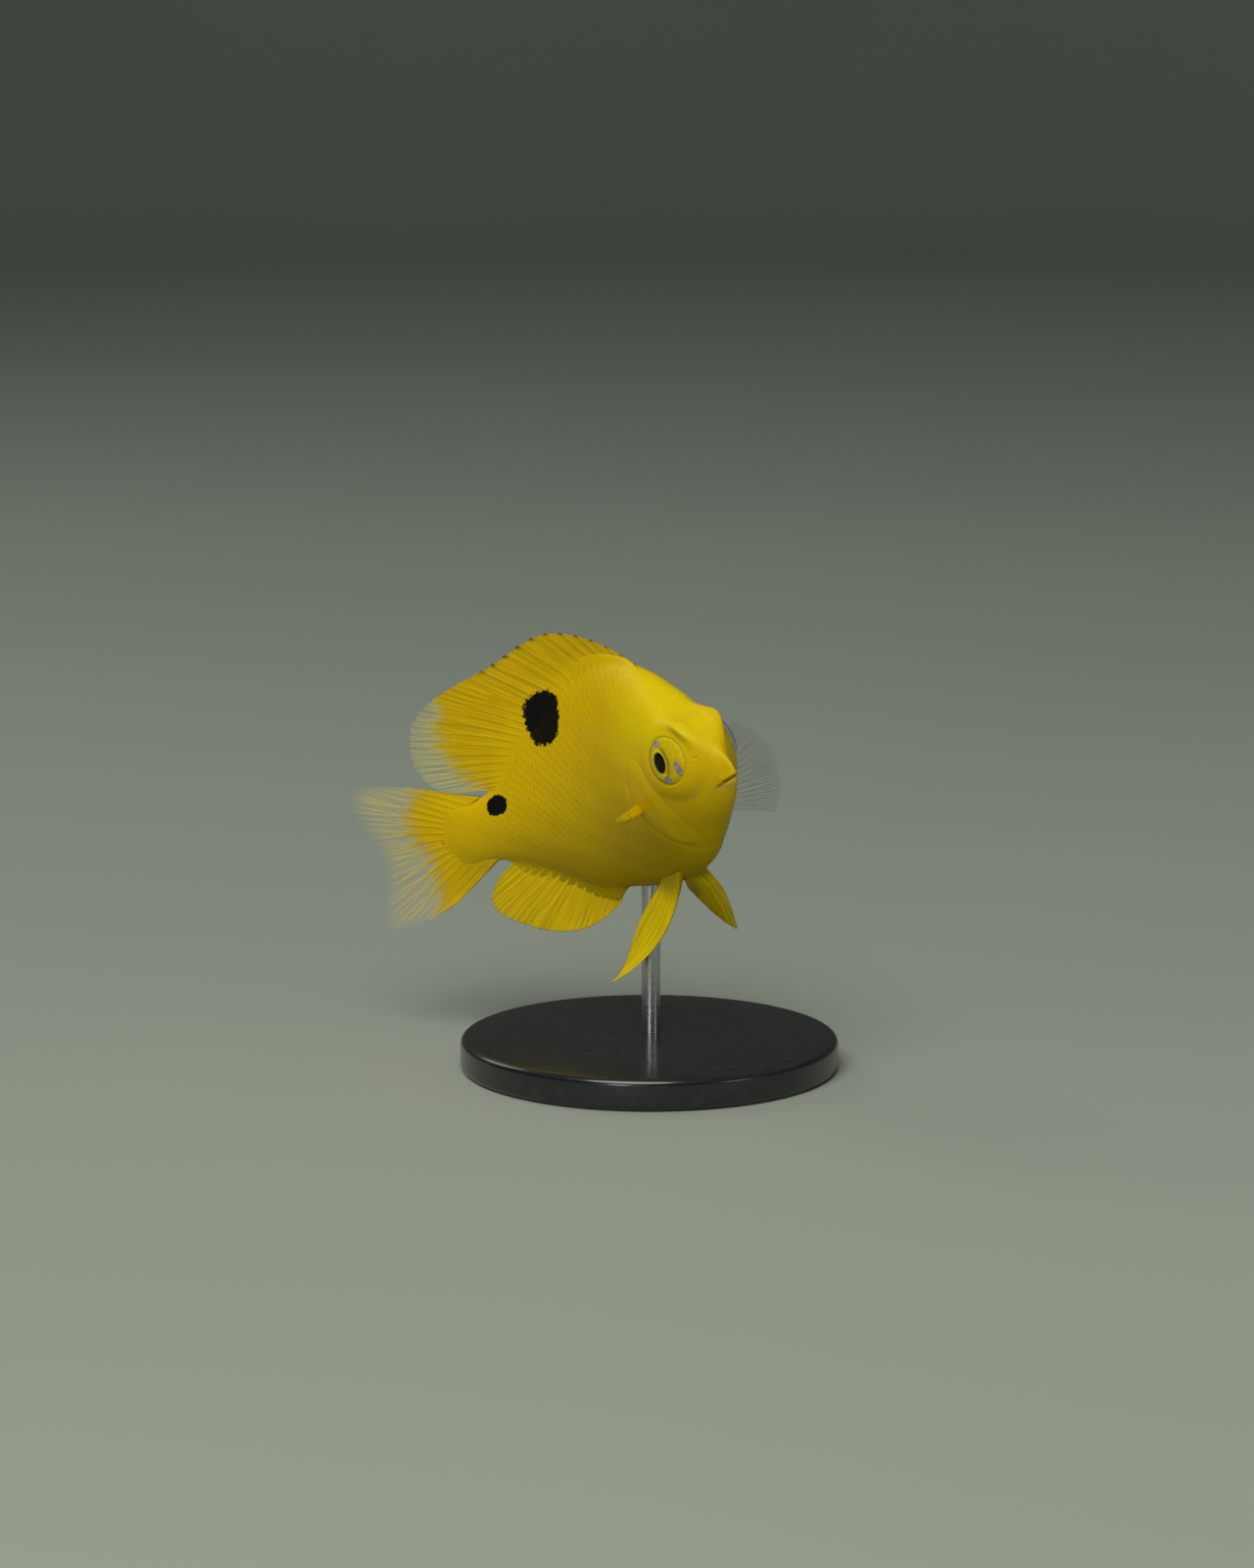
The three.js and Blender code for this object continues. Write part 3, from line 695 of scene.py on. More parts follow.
def noise(vector, scale, detail=3.0, roughness=0.55):
    return add_node(vector.id_data, "ShaderNodeTexNoise", Vector=vector, Scale=scale, Detail=detail,
                    Roughness=roughness).outputs[0]


def bumpy(height, strength, distance):
    """A normal that a height disturbs."""
    return add_node(height.id_data, "ShaderNodeBump", Strength=strength, Distance=distance,
                    Height=height).outputs[0]


# %% [markdown]
# ## Spots
# The fish is named after its dark marks: a large black spot with ragged edges high on the flank, which
# runs up into the back fin, and a small saddle on the tail stalk. They are ovals in the side view whose
# edge is broken by noise. Painting them as an image would not follow the scales. A formula does.

# %% Spots
SPOTS = [((26.6, 8.8), (2.5, 2.5)), ((34.7, 2.0), (1.3, 0.95))]      # middle and half size
SPOT_POWER = 2.4             # a little squarer than an oval
SPOT_BLACK = rgb(14, 15, 12)


def side_view(tree):
    """The straight place of a point, its distance behind the snout and its height."""
    straight = attribute(tree, "straight")
    x, _, z = split(straight)
    return straight, times(x, -1.0), z


def with_spots(colour, straight, place, height):
    """The colour with the black spots over it."""
    ragged = noise(straight, 2.4, 4.0, 0.7)
    for middle, half in SPOTS:
        edge = shaken(oval(place, height, middle, half, SPOT_POWER), ragged, 1.5)
        colour = mix(ramp(edge, 0.94, 1.08, 1.0, 0.0), colour, SPOT_BLACK)
    return colour


print("spots:", len(SPOTS))

# %% [markdown]
# ## The finish of the skin
# The living colour is a warm saturated yellow. A lighter gold on the forehead and crown is painted light
# from above, and the olive towards the belly is partly the fish's own tone and partly painted shade. The
# surface is satin: slime over fine scales. The colour comes from the straight place with slow noise, the
# spots lie on top, and a fine bump breaks the highlights. An even colour with a strong shine would look
# like painted plastic.

# %% Skin colours
YELLOW = rgb(230, 190, 2)
# OLIVE is the fish's own tone in the mottle and on the fins, and partly painted shade towards the belly
OLIVE = rgb(184, 156, 4)
LOWER_LIP = rgb(226, 200, 120)
CLEFT_BROWN = rgb(120, 78, 14)


def yellow_with_belly_shade(straight, height):
    """Yellow above and olive towards the belly, with a slow uneven change: the olive is partly the fish's own
    tone and partly painted shade.
    """
    low = ramp(plus(height, times(noise(straight, 0.22), 3.0)), -8.0, 3.5, 1.0, 0.0)
    return mix(low, YELLOW, OLIVE)


def with_lips(colour, place, height):
    """A paler lower lip, and a warm shadow in the cleft of the mouth."""
    line = plus(minus(height, MOUTH_HEIGHT), times(place, MOUTH_DROP))
    at_mouth = ramp(place, 2.0, 2.7, 1.0, 0.0)
    lower = times(ramp(maths("ABSOLUTE", plus(line, 0.4)), 0.1, 0.4, 0.25, 0.0), at_mouth)
    cleft = times(ramp(maths("ABSOLUTE", line), 0.05, 0.22, 0.7, 0.0), at_mouth)
    return mix(cleft, mix(lower, colour, LOWER_LIP), CLEFT_BROWN)


print("linear yellow:", [round(value, 3) for value in YELLOW[:3]])

# %% Skin material
# a lighter gold painted on the crown, for the light that falls on it from above
CROWN_PAINTED_LIGHT = rgb(238, 208, 4)
CHEEK_MARK = rgb(172, 160, 150)
CHEEK_MARK_AT = (4.75, -1.35)
CHEEK_MARK_HALF = (0.26, 0.24)
SATIN_SPECULAR = 0.14


def skin_material(name):
    made, tree, shader = new_material(name)
    straight, place, z = side_view(tree)
    fine = noise(straight, 2.6)
    # painted light: the crown of the head and the nape are made a lighter gold, as light from above falls on
    # them
    crown = times(ramp(z, 0.5, 6.0), ramp(place, 9.0, 17.0, 1.0, 0.0))
    colour = mix(crown, yellow_with_belly_shade(straight, z), CROWN_PAINTED_LIGHT)
    colour = mix(ramp(fine, 0.35, 0.75, 0.0, 0.16), colour, OLIVE)
    colour = with_lips(colour, place, z)
    mark = shaken(oval(place, z, CHEEK_MARK_AT, CHEEK_MARK_HALF), fine, 0.8)
    colour = mix(ramp(mark, 0.3, 1.2, 0.5, 0.0), colour, CHEEK_MARK)
    pores = noise(straight, 7.0, 2.0)
    set_inputs(shader, Base_Color=with_spots(colour, straight, place, z),
               Roughness=ramp(fine, 0.2, 0.8, 0.36, 0.5), Specular_IOR_Level=SATIN_SPECULAR,
               Normal=bumpy(pores, 0.12, 0.0001))
    return made


skin_look = skin_material("living_skin")
print("skin nodes:", len(skin_look.node_tree.nodes))

# %% Build the skin
straight_skin = np.concatenate([[[0.0, 0.0, 0.0]], skin_grid.reshape(-1, 3), [[-SKIN_END, 0.0, 0.0]]])
skin = add_mesh("skin", straight_skin, tube_faces(SKIN_RINGS, SKIN_SIDES), skin_look)
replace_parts(skin, "head", "lower_jaw", "gill_cover_right", "gill_cover_left", "trunk", "tail_stalk")

# %% [markdown]
# ## Scales
# Small thin scales overlap like roof tiles, in rows along the flank, from the nape to the tail root.
# They could be a bump texture, but real plates catch the light at their free edge. One plate is a grid
# of a few points, bent onto the skin at each place of a brick pattern. Near the face the plates sink
# into the skin, because the face is bare.

# %% The skin between its points


def on_skin(place, angle):
    """Point and outward normal of the skin at any place and angle."""
    ring = np.clip(np.sqrt(np.maximum(place, 0.01) / SKIN_END) * SKIN_RINGS - 1, 0, SKIN_RINGS - 1.001)
    side = (angle / (2 * math.pi) * SKIN_SIDES) % SKIN_SIDES
    r0 = ring.astype(int)
    s0 = side.astype(int)
    fr = (ring - r0)[..., None]
    fs = (side - s0)[..., None]
    s1 = (s0 + 1) % SKIN_SIDES
    s0 = s0 % SKIN_SIDES

    def blend_of(grid):
        near = grid[r0, s0] * (1 - fs) + grid[r0, s1] * fs
        far = grid[r0 + 1, s0] * (1 - fs) + grid[r0 + 1, s1] * fs
        return near * (1 - fr) + far * fr

    return blend_of(skin_grid), blend_of(skin_normal)


def girth_table(place):
    """Distance over the skin from the side upward, for a fine fan of angles."""
    fan = np.linspace(-math.pi / 2, math.pi / 2, 241)
    points = body_point(np.full(fan.shape, float(place)), fan % (2 * math.pi))
    walked = np.concatenate([[0.0], np.cumsum(np.linalg.norm(np.diff(points, axis=0), axis=1))])
    return fan, walked - np.interp(0.0, fan, walked)


print("over one flank from belly to back:", round(float(np.ptp(girth_table(16)[1])), 1), "mm")

# %% Scale pattern
SCALES_FROM = 5.4            # behind the snout
SCALES_TO = 40.6
DEEPEST = 16                 # where the body is deepest
COLUMN_SPACING = 1.05
ROW_SPACING = 1.3
OFF_BELLY = 0.25             # no scale lies closer than this to the middle line of the belly
OFF_BACK = 0.9               # or of the back
STEP_REACH = 0.3             # half the stretch over which the turn for one millimetre is measured


def scale_places():
    """Place, angle, size and turning step of every scale, less than 0 on the fish's right."""
    rows = []
    column = 0
    place = SCALES_FROM
    deepest = girth_table(DEEPEST)[1][-1]
    while place < SCALES_TO:
        fan, walked = girth_table(place)
        size = (walked[-1] / deepest) ** 0.5 * (0.72 + 0.28 * smoothstep(place, 8.0, 13.0))
        pitch_here = ROW_SPACING * size
        count = int(walked[-1] / pitch_here) + 2
        for row in range(-count, count + 1):
            reach = (row + 0.5 * (column % 2)) * pitch_here
            if walked[0] + OFF_BELLY < reach < walked[-1] - OFF_BACK:
                angle = float(np.interp(reach, walked, fan))
                low, high = np.interp([reach - STEP_REACH, reach + STEP_REACH], walked, fan)
                step = float(high - low) / (2 * STEP_REACH)
                rows.append((place, angle % (2 * math.pi), size, step))
                rows.append((place, (math.pi - angle) % (2 * math.pi), size, -step))
        place += COLUMN_SPACING * (0.55 + 0.45 * float(size)) / 2
        column += 1
    return np.array(rows)


pattern = scale_places()
centres, _ = on_skin(pattern[:, 0], pattern[:, 1])
eye_far = np.hypot(centres[:, 0] - EYE_AT[0], centres[:, 2] - EYE_AT[2])
gill_far = np.abs(distance_to(gill_outline(), pattern[:, 0], centres[:, 2]))
bare_face = smoothstep(pattern[:, 0] - 0.12 * np.abs(centres[:, 2] - 6.0) ** 1.3, 5.2, 7.5)
standing = bare_face * smoothstep(eye_far, 2.9, 3.9) * smoothstep(gill_far, 0.25, 0.75)
kept = standing > 0.02
pattern, standing = pattern[kept], standing[kept]
print("scales:", len(pattern))

# %% One plate
SCALE_LONG = 1.55
SCALE_ROOT = 0.42            # the part of its length that lies before its place
SCALE_HALF = 0.78            # half its height
SCALE_LIFT = 0.026
SCALE_CROWN = 0.02           # how much its middle is raised at the free edge
SCALE_SUNK = 0.03            # how deep its root lies in the skin
FREE_STEPS = 4
ACROSS_STEPS = 8
free = 1 - (1 - np.linspace(0, 1, FREE_STEPS + 1)) ** 2                     # closer at the free edge
across = np.sin(np.linspace(-1, 1, ACROSS_STEPS + 1) * math.pi / 2)         # and at both sides
plate_free, plate_across = np.meshgrid(free, across, indexing="ij")
round_end = 0.62 + 0.38 * np.sqrt(1 - 0.94 * plate_across ** 2)
plate_long = (plate_free * round_end - SCALE_ROOT) * SCALE_LONG
plate_wide = SCALE_HALF * plate_across * (1 - 0.1 * plate_free ** 2)
plate_up = SCALE_LIFT * plate_free ** 0.85 + SCALE_CROWN * (1 - plate_across ** 2) * plate_free - SCALE_SUNK


def sheet_faces(columns, rows):
    """Both faces of a closed sheet and the rim between them."""
    step = rows + 1
    other = columns * step
    a = (np.arange(columns - 1)[:, None] * step + np.arange(rows)[None, :]).ravel()
    near = np.column_stack([a, a + step, a + step + 1, a + 1])
    far = np.column_stack([a, a + 1, a + step + 1, a + step]) + other
    rim = [c * step for c in range(columns)]
    rim += [(columns - 1) * step + r for r in range(1, rows + 1)]
    rim += [c * step + rows for c in range(columns - 2, -1, -1)]
    rim += [r for r in range(rows - 1, 0, -1)]
    edge = [[p, p + other, q + other, q] for p, q in zip(rim, rim[1:] + rim[:1])]
    return near.tolist() + far.tolist() + edge


plate_faces = np.array(sheet_faces(FREE_STEPS + 1, ACROSS_STEPS))
print("faces of a plate:", len(plate_faces))

# %% Coats of scales
JITTER_SEED = 7
PLACE_JITTER = 0.02
HEIGHT_JITTER = 0.06
SCALE_THICK = 0.05
BARE_SINK = 0.09             # how much deeper a plate lies where the skin is bare
BAKE_PATCH = 0.003           # how much of the picture for baking each plate takes
BAKE_MARGIN = 0.005


def build_scales(rows, stand):
    """All plates of one side as one mesh: points, faces and the bake patch of each."""
    random = np.random.default_rng(JITTER_SEED)
    jitter = random.uniform(-1, 1, (len(rows), 3))[:, :, None, None]
    place, angle, size, step = [rows[:, i][:, None, None] for i in range(4)]
    long = place + plate_long[None] * size + PLACE_JITTER * jitter[:, 0]
    point, normal = on_skin(long, angle + plate_wide[None] * size * step)
    height = plate_up[None] * (1 + HEIGHT_JITTER * jitter[:, 1]) - (1 - stand)[:, None, None] * BARE_SINK
    upper = point + normal * height[..., None]
    lower = point + normal * (height - SCALE_THICK)[..., None]
    straight = np.stack([upper, lower], axis=1).reshape(-1, 3)
    faces = plate_faces[None] + (np.arange(len(rows)) * plate_up.size * 2)[:, None, None]
    on_left = rows[:, 3] > 0
    faces[on_left] = faces[on_left][:, :, ::-1]
    root = np.column_stack([rows[:, 0] / SKIN_END, rows[:, 1] / (2 * math.pi)])
    patch = np.stack([plate_free - 0.5, plate_across / 2], -1).reshape(1, -1, 2) * BAKE_PATCH
    uv = root[:, None] * (1 - 2 * BAKE_MARGIN) + BAKE_MARGIN + np.concatenate([patch, patch], axis=1)
    return straight, faces.reshape(-1, 4).tolist(), uv.reshape(-1, 2)


for side_name, chosen in (("left", pattern[:, 3] > 0), ("right", pattern[:, 3] < 0)):
    points, faces, bake = build_scales(pattern[chosen], standing[chosen])
    coat = add_mesh("scales_" + side_name, points, faces, skin_look, uv=bake)

# %% [markdown]
# ## Eyes
# The eyeball is a flattened ball in its socket. A round black pupil bulges a little, because a fish's
# lens stands in it, and since it looks straight aside it lies behind the middle of the opening. A thin
# gold ring, bright crescents above and below and an olive one in front lie around it, with violet
# patches and a greyish rear margin, all under a wet clear surface. A painted picture would do on a flat
# eye. Here the colours come from the distance to the pupil and the turn around it.

# %% Iris patterns
VIOLET_PATCHES = [((-0.5, 1.75), (0.5, 0.4)), ((-0.3, -1.75), (0.55, 0.42)), ((1.35, -0.95), (0.38, 0.8))]
NEVER_ZERO = 0.001


def share(value, whole):
    return over(value, plus(whole, NEVER_ZERO))


def band(value, rise, fall, high=1.0):
    """Soft on both sides: it rises over one range and falls over the next."""
    return times(ramp(value, *rise), ramp(value, *fall, high, 0.0))


def with_patches(iris, x, z, cloud):
    """Grey and violet patches above, below and low ahead of the pupil."""
    for middle, half in VIOLET_PATCHES:
        edge = shaken(oval(x, z, middle, half), cloud, 1.2)
        violet = mix(ramp(cloud, 0.4, 0.6), rgb(132, 122, 136), rgb(184, 178, 176))
        iris = mix(ramp(edge, 0.5, 1.15, 0.9, 0.0), iris, violet)
    return iris


def with_crescents(iris, aside, z, from_pupil):
    """Bright crescents above and below the pupil, a gold ring round it and an olive crescent before it."""
    upright = share(maths("ABSOLUTE", z), from_pupil)
    glow = times(ramp(upright, 0.6, 0.95), ramp(from_pupil, 1.2, 1.45, 1.0, 0.0))
    iris = mix(glow, iris, rgb(248, 230, 14))
    iris = mix(band(from_pupil, (0.98, 1.03), (1.06, 1.14), 0.8), iris, rgb(222, 192, 40))
    ahead = ramp(share(aside, from_pupil), 0.0, 0.8, 0.0, 0.65)
    return mix(times(band(from_pupil, (1.08, 1.2), (1.35, 1.9)), ahead), iris, rgb(120, 104, 16))


print("violet patches of an iris:", len(VIOLET_PATCHES))

# %% Eye material
PUPIL_BACK = -0.5
PUPIL_NARROW = 0.7           # an upright oval, as the lens is seen through a slanting opening


def eye_material():
    made, tree, shader = new_material("wet_eye")
    local = attribute(tree, "web")
    x, _, z = split(local)
    reach = maths("SQRT", oval(x, z, (0.0, 0.0), (1.0, 1.0)))
    aside = over(minus(x, PUPIL_BACK), PUPIL_NARROW)
    from_pupil = maths("SQRT", oval(x, z, (PUPIL_BACK, 0.0), (PUPIL_NARROW, 1.0)))
    cloud = noise(local, 2.2, 4.0)
    iris = mix(ramp(cloud, 0.35, 0.65, 0.0, 0.35), rgb(236, 204, 6), rgb(160, 146, 22))
    iris = with_patches(iris, x, z, cloud)
    iris = with_crescents(iris, aside, z, from_pupil)
    # a greyish line along the rear margin, and fine grain all over
    rearward = share(times(x, -1.0), reach)
    grey = times(ramp(reach, 1.86, 1.96), ramp(rearward, 0.1, 0.8, 0.0, 0.85))
    iris = mix(grey, iris, rgb(128, 128, 116))
    iris = mix(times(noise(local, 9.0), 0.12), iris, rgb(110, 98, 30))
    pupil = ramp(from_pupil, 0.97, 1.03, 1.0, 0.0)
    set_inputs(shader, Base_Color=mix(pupil, iris, rgb(16, 11, 6)), Roughness=0.3, Specular_IOR_Level=0.2)
    return made


def cornea_material():
    """Clear in the middle and darker towards the edge: the dark olive is painted refraction, standing in for
    the iris seen at a slant through a thick wet lens.
    """
    made, tree, shader = new_material("cornea")
    facing = add_node(tree, "ShaderNodeLayerWeight", Blend=0.35).outputs["Facing"]
    cloud = ramp(noise(attribute(tree, "straight"), 1.2), 0.4, 0.6)
    set_inputs(shader, Alpha=ramp(facing, 0.5, 0.92, 0.03, 0.92), Roughness=0.08, IOR=1.25,
               Base_Color=mix(cloud, rgb(96, 88, 30), rgb(40, 36, 20)), Specular_IOR_Level=0.3)
    return made


eye_look = eye_material()
cornea_look = cornea_material()
print("eye nodes:", len(eye_look.node_tree.nodes))

# %% Shapes of the eye
PUPIL_RADIUS = 1.0
LENS_BULGE = 0.16
LENS_GROOVE = 0.03
EYE_DEPTH = 1.5              # of the ball behind its plane
CORNEA_RADIUS = 2.12
CORNEA_HEIGHT = 0.9
CORNEA_BACK = 0.3
CORNEA_FOOT = 0.04
EYE_SIDES = 128
EYE_RINGS = 72


def eye_ball():
    """A unit ball of rings about its outward axis."""
    polar = np.arange(1, EYE_RINGS) / EYE_RINGS * math.pi
    turn = np.arange(EYE_SIDES) / EYE_SIDES * 2 * math.pi
    polar, turn = np.meshgrid(polar, turn, indexing="ij")
    ball = np.stack([np.sin(polar) * np.cos(turn), np.cos(polar), np.sin(polar) * np.sin(turn)], -1)
    return np.concatenate([[[0.0, 1.0, 0.0]], ball.reshape(-1, 3), [[0.0, -1.0, 0.0]]])


def placed(flat, deep):
    """Sets an eye's own shape on its own axes."""
    return flat[:, :1] * eye_ahead + deep[:, None] * eye_out + flat[:, 2:] * eye_up + EYE_AT


def eye_points():
    """One eye on the fish's left: straight points and its own flat coordinates."""
    ball = eye_ball()
    flat = ball * EYE_RADIUS
    from_pupil = np.hypot((flat[:, 0] - PUPIL_BACK) / PUPIL_NARROW, flat[:, 2])
    lens = LENS_BULGE * bell(from_pupil, PUPIL_RADIUS, 4) - LENS_GROOVE * bell(from_pupil - 1.15, 0.14)
    dome = eye_dome(np.hypot(flat[:, 0], flat[:, 2]))
    deep = np.where(ball[:, 1] > 0, dome + lens, ball[:, 1] * EYE_DEPTH)
    return placed(flat, deep), np.column_stack([flat[:, 0], ball[:, 1], flat[:, 2]])


def clear_cap():
    """The cornea: a low clear dome over the iris, closed behind it inside the ball."""
    ball = eye_ball()
    deep = ball[:, 1] * np.where(ball[:, 1] > 0, CORNEA_HEIGHT, CORNEA_BACK)
    return placed(ball * CORNEA_RADIUS, deep + CORNEA_FOOT)


print("points of an eyeball:", len(eye_ball()))

# %% Build the eyes
eye_faces = tube_faces(EYE_RINGS - 1, EYE_SIDES)
for side_name, turn in (("left", 1), ("right", -1)):
    mirror = (1, turn, 1)
    faces = [face[::-1] for face in eye_faces] if turn < 0 else eye_faces
    points, local = eye_points()
    eye = add_mesh("eyeball_" + side_name, points * mirror, faces, eye_look, web=local)
    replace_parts(eye, "eye_" + side_name)
    cap = add_mesh("cornea_" + side_name, clear_cap() * mirror, faces, cornea_look, web=local)

# %% [markdown]
# ## Fins
# A fin is a thin web of skin held by bony rays. The first rays of the back fin are spines, the others
# are soft, jointed and split towards their tips. A flat plane with a picture would show no thickness, so
# each fin is a closed sheet: both faces follow the same surface, and every ray is a ridge in it. Its
# root is thick flesh that runs into the skin.

# %% Rays of a fin


def ray_ridge(count_at, along, soft):
    """Height 0 to 1 of the rays. Soft rays split in two, and again near the margin."""
    from_ray = np.abs(count_at - np.round(count_at))
    first = 0.23 * soft * smoothstep(along, 0.4, 0.8)
    second = 0.1 * soft * smoothstep(along, 0.68, 0.98)
    width = 0.135 - 0.055 * soft * smoothstep(along, 0.35, 0.9)
    return bell(np.abs(np.abs(from_ray - first) - second), width)


print("ridge on a ray and between two:", [round(float(ray_ridge(at, 0.2, 1.0)), 2) for at in (3.0, 3.5)])

# %% Fin sheet
WEB_HALF = 0.05              # half the thickness of the web at its root
WEB_EDGE = 0.03              # and at its margin
RAY_THINNING = 0.6           # the part of a ray's height that is gone at the margin


def fin_sheet(surface, rays, rows, per_ray=12, soft=1.0, ray_height=0.1, root=0.25, flesh_reach=0.12,
              notch=0.05, wave=0.0):
    """A closed sheet over rays and rows. surface(at, along) gives the middle of the web."""
    columns = (rays - 1) * per_ray + 1
    count_at = np.linspace(0, rays - 1, columns)[:, None]
    level = np.linspace(0, 1, rows + 1)[None, :]
    soft_at = soft(count_at) if callable(soft) else soft
    # between the tips of the rays the margin is notched
    trimmed = level * (1 - notch * (1 - ray_ridge(count_at, 1.0, soft_at)) * level ** 3)
    at = count_at / (rays - 1) * np.ones_like(level)
    centre = surface(at, trimmed)
    centre[..., 1] += wave * np.sin(at * 9.0 + trimmed * 2.0) * trimmed ** 2
    normal = unit(np.cross(np.gradient(centre, axis=0), np.gradient(centre, axis=1)))
    ridge = ray_ridge(count_at, level, soft_at)
    thin = WEB_HALF + (WEB_EDGE - WEB_HALF) * level ** 2
    proud = ridge * ray_height * (1 - RAY_THINNING * level) * smoothstep(level, 0.0, 0.2)
    half = (thin + root * bell(level, flesh_reach) + proud)[..., None]
    points = np.stack([centre + normal * half, centre - normal * half]).reshape(-1, 3)
    web = np.stack([count_at * np.ones_like(level), trimmed, ridge], -1).reshape(-1, 3)
    return points, np.concatenate([web, web]), sheet_faces(columns, rows)


# %% [markdown]
# ## The finish of the fins
# The fins of the back and tail are yellow where they carry colour and clear as glass at their rear
# margins, where only pale rays show. Streaks along the rays break the edge of the yellow, and fine brown
# lines run between the rays. The colour and the clearness come from the straight place, so the edge of
# the yellow runs across the rays as on the real fin. Alpha makes the web clear. A glass shader with
# refraction would be truer and much slower.

# %% The edge of the yellow
CURVE_REACH = 60.0           # the places on a fin, made to fit a curve from 0 to 1
STREAK_PUSH = 6.0            # how far streaks carry the yellow over its edge


def ray_noise(count_at, along, stretch, scale, detail):
    """Noise in long streaks along the rays."""
    flat = add_node(along.id_data, "ShaderNodeCombineXYZ", X=times(count_at, stretch[0]),
                    Y=times(along, stretch[1])).outputs[0]
    return noise(flat, scale, detail)


def past_line(stations, place, height, streak, ridge):
    """How clear a fin is past a line of (height, place) stations where its yellow ends."""
    curve = height.id_data.nodes.new("ShaderNodeFloatCurve")
    low, high = stations[0][0], stations[-1][0]
    points = curve.mapping.curves[0].points
    while len(points) < len(stations):
        points.new(0.5, 0.5)
    for point, (level, edge) in zip(points, stations):
        point.location = ((level - low) / (high - low), edge / CURVE_REACH)
    curve.mapping.update()
    set_inputs(curve, Value=ramp(height, low, high, kind="LINEAR"))
    past = shaken(minus(place, times(curve.outputs[0], CURVE_REACH)), streak, STREAK_PUSH)
    return ramp(minus(past, times(ridge, 0.7)), -0.9, 1.8)


def past_share(span, along, count_at, streak):
    """How clear a fin is beyond its yellow first rays and root."""
    return ramp(plus(plus(times(along, 0.3), times(count_at, 0.075)), times(streak, 0.1)), *span)


print("the curve's places run to", CURVE_REACH, "mm")

# %% Fin material
FIN_YELLOW = rgb(234, 194, 2)
LINE_BROWN = rgb(150, 118, 6)
TIP_BROWN = rgb(58, 40, 8)
PALE_GLASS = rgb(232, 222, 110)
JOINTS = 150.0               # how closely the joints of the rays follow each other


def fin_material(name, tint=FIN_YELLOW, ray_tint=rgb(186, 148, 8), root_end=0.3, clear_line=None,
                 clear_past=None, glass=(PALE_GLASS, PALE_GLASS), web_alpha=0.05, ray_alpha=0.4,
                 margin_part=0.55, back_fin=False):
    """clear_line or clear_past says where the fin is clear. With neither it is yellow all over.
    margin_part is how much of the web and rays still shows at the margin."""
    made, tree, shader = new_material(name)
    straight, place, z = side_view(tree)
    count_at, along, ridge = split(attribute(tree, "web"))
    slow = noise(straight, 0.5)
    streak = ray_noise(count_at, along, (3.0, 1.4), 1.3, 3.0)
    hair = ray_noise(count_at, along, (9.0, 0.7), 1.0, 2.0)
    colour = mix(times(ramp(slow, 0.3, 0.7), 0.2), tint, OLIVE)
    colour = mix(times(ridge, 0.3), colour, ray_tint)
    colour = mix(times(ramp(hair, 0.46, 0.62), ramp(along, 0.15, 0.5, 0.1, 0.42)), colour, LINE_BROWN)
    # the root takes on the body's colour, with its painted shade towards the belly
    colour = mix(ramp(along, 0.02, root_end, 1.0, 0.0), colour, yellow_with_belly_shade(straight, z))
    if back_fin:
        dark = times(ramp(along, 0.9, 0.99), ramp(ridge, 0.1, 0.6, 0.2, 1.0))
        colour = mix(times(dark, ramp(count_at, 10.5, 13.0, 0.8, 0.0)), colour, TIP_BROWN)
    if clear_line:
        clear = past_line(clear_line, place, z, streak, ridge)
    elif clear_past:
        clear = past_share(clear_past, along, count_at, streak)
    if clear_line or clear_past:
        pale = mix(ramp(streak, 0.35, 0.65), *glass)
        pale = mix(times(ramp(streak, 0.64, 0.7), 0.8), pale, tint)
        colour = mix(clear, colour, pale)
        stroke = maths("MAXIMUM", ramp(ridge, 0.3, 0.95), ramp(hair, 0.5, 0.6, 0.0, 0.75))
        stroke = times(stroke, ramp(along, 0.7, 1.0, ray_alpha, ray_alpha * margin_part))
        glassy = plus(stroke, ramp(along, 0.7, 1.0, web_alpha, web_alpha * margin_part))
        set_inputs(shader, Alpha=plus(times(clear, minus(glassy, 1.0)), 1.0))
    if back_fin:
        colour = with_spots(colour, straight, place, z)
    jointed = times(times(maths("SINE", times(along, JOINTS)), ridge), 0.5)
    set_inputs(shader, Base_Color=colour, Roughness=ramp(slow, 0.3, 0.7, 0.38, 0.5),
               Specular_IOR_Level=SATIN_SPECULAR, Normal=bumpy(jointed, 0.25, 0.00006))
    return made


# %% Looks of the middle fins
DORSAL_CLEAR = [(3.3, 35.2), (4.4, 36.4), (5.7, 37.4), (7.5, 38.3), (10.0, 38.5), (11.8, 38.0), (13.4, 37.4),
                (15.0, 37.8)]
TAIL_CLEAR = [(-7.5, 44.6), (-5.6, 44.0), (-4.2, 44.0), (-1.6, 43.7), (0.5, 44.6), (2.1, 45.0), (3.6, 44.6),
              (5.0, 43.2), (7.8, 42.6)]
dorsal_look = fin_material("dorsal_web", clear_line=DORSAL_CLEAR, back_fin=True)
tail_look = fin_material("tail_web", clear_line=TAIL_CLEAR, glass=(PALE_GLASS, rgb(222, 200, 140)),
                         web_alpha=0.09, margin_part=0.12)
anal_look = fin_material("anal_web", rgb(236, 198, 4), rgb(255, 232, 40), root_end=0.14)
print("dorsal fin nodes:", len(dorsal_look.node_tree.nodes))

# %% [markdown]
# ## Fins of the middle line
# The back fin starts with twelve spines over the nape and goes on with fifteen soft rays. The frame parts
# it in two solids. Here it is one web from end to end. Each margin is a smooth curve through stations
# measured on the side view, and each ray runs straight from the base to it. The outermost rays of the
# tail start farther ahead than its middle ones, as they wrap round the end of the tail stalk. A filled
# outline would be quicker, but its faces wouldn't follow the rays, so these sheets are built ray by ray.

# %% Margins


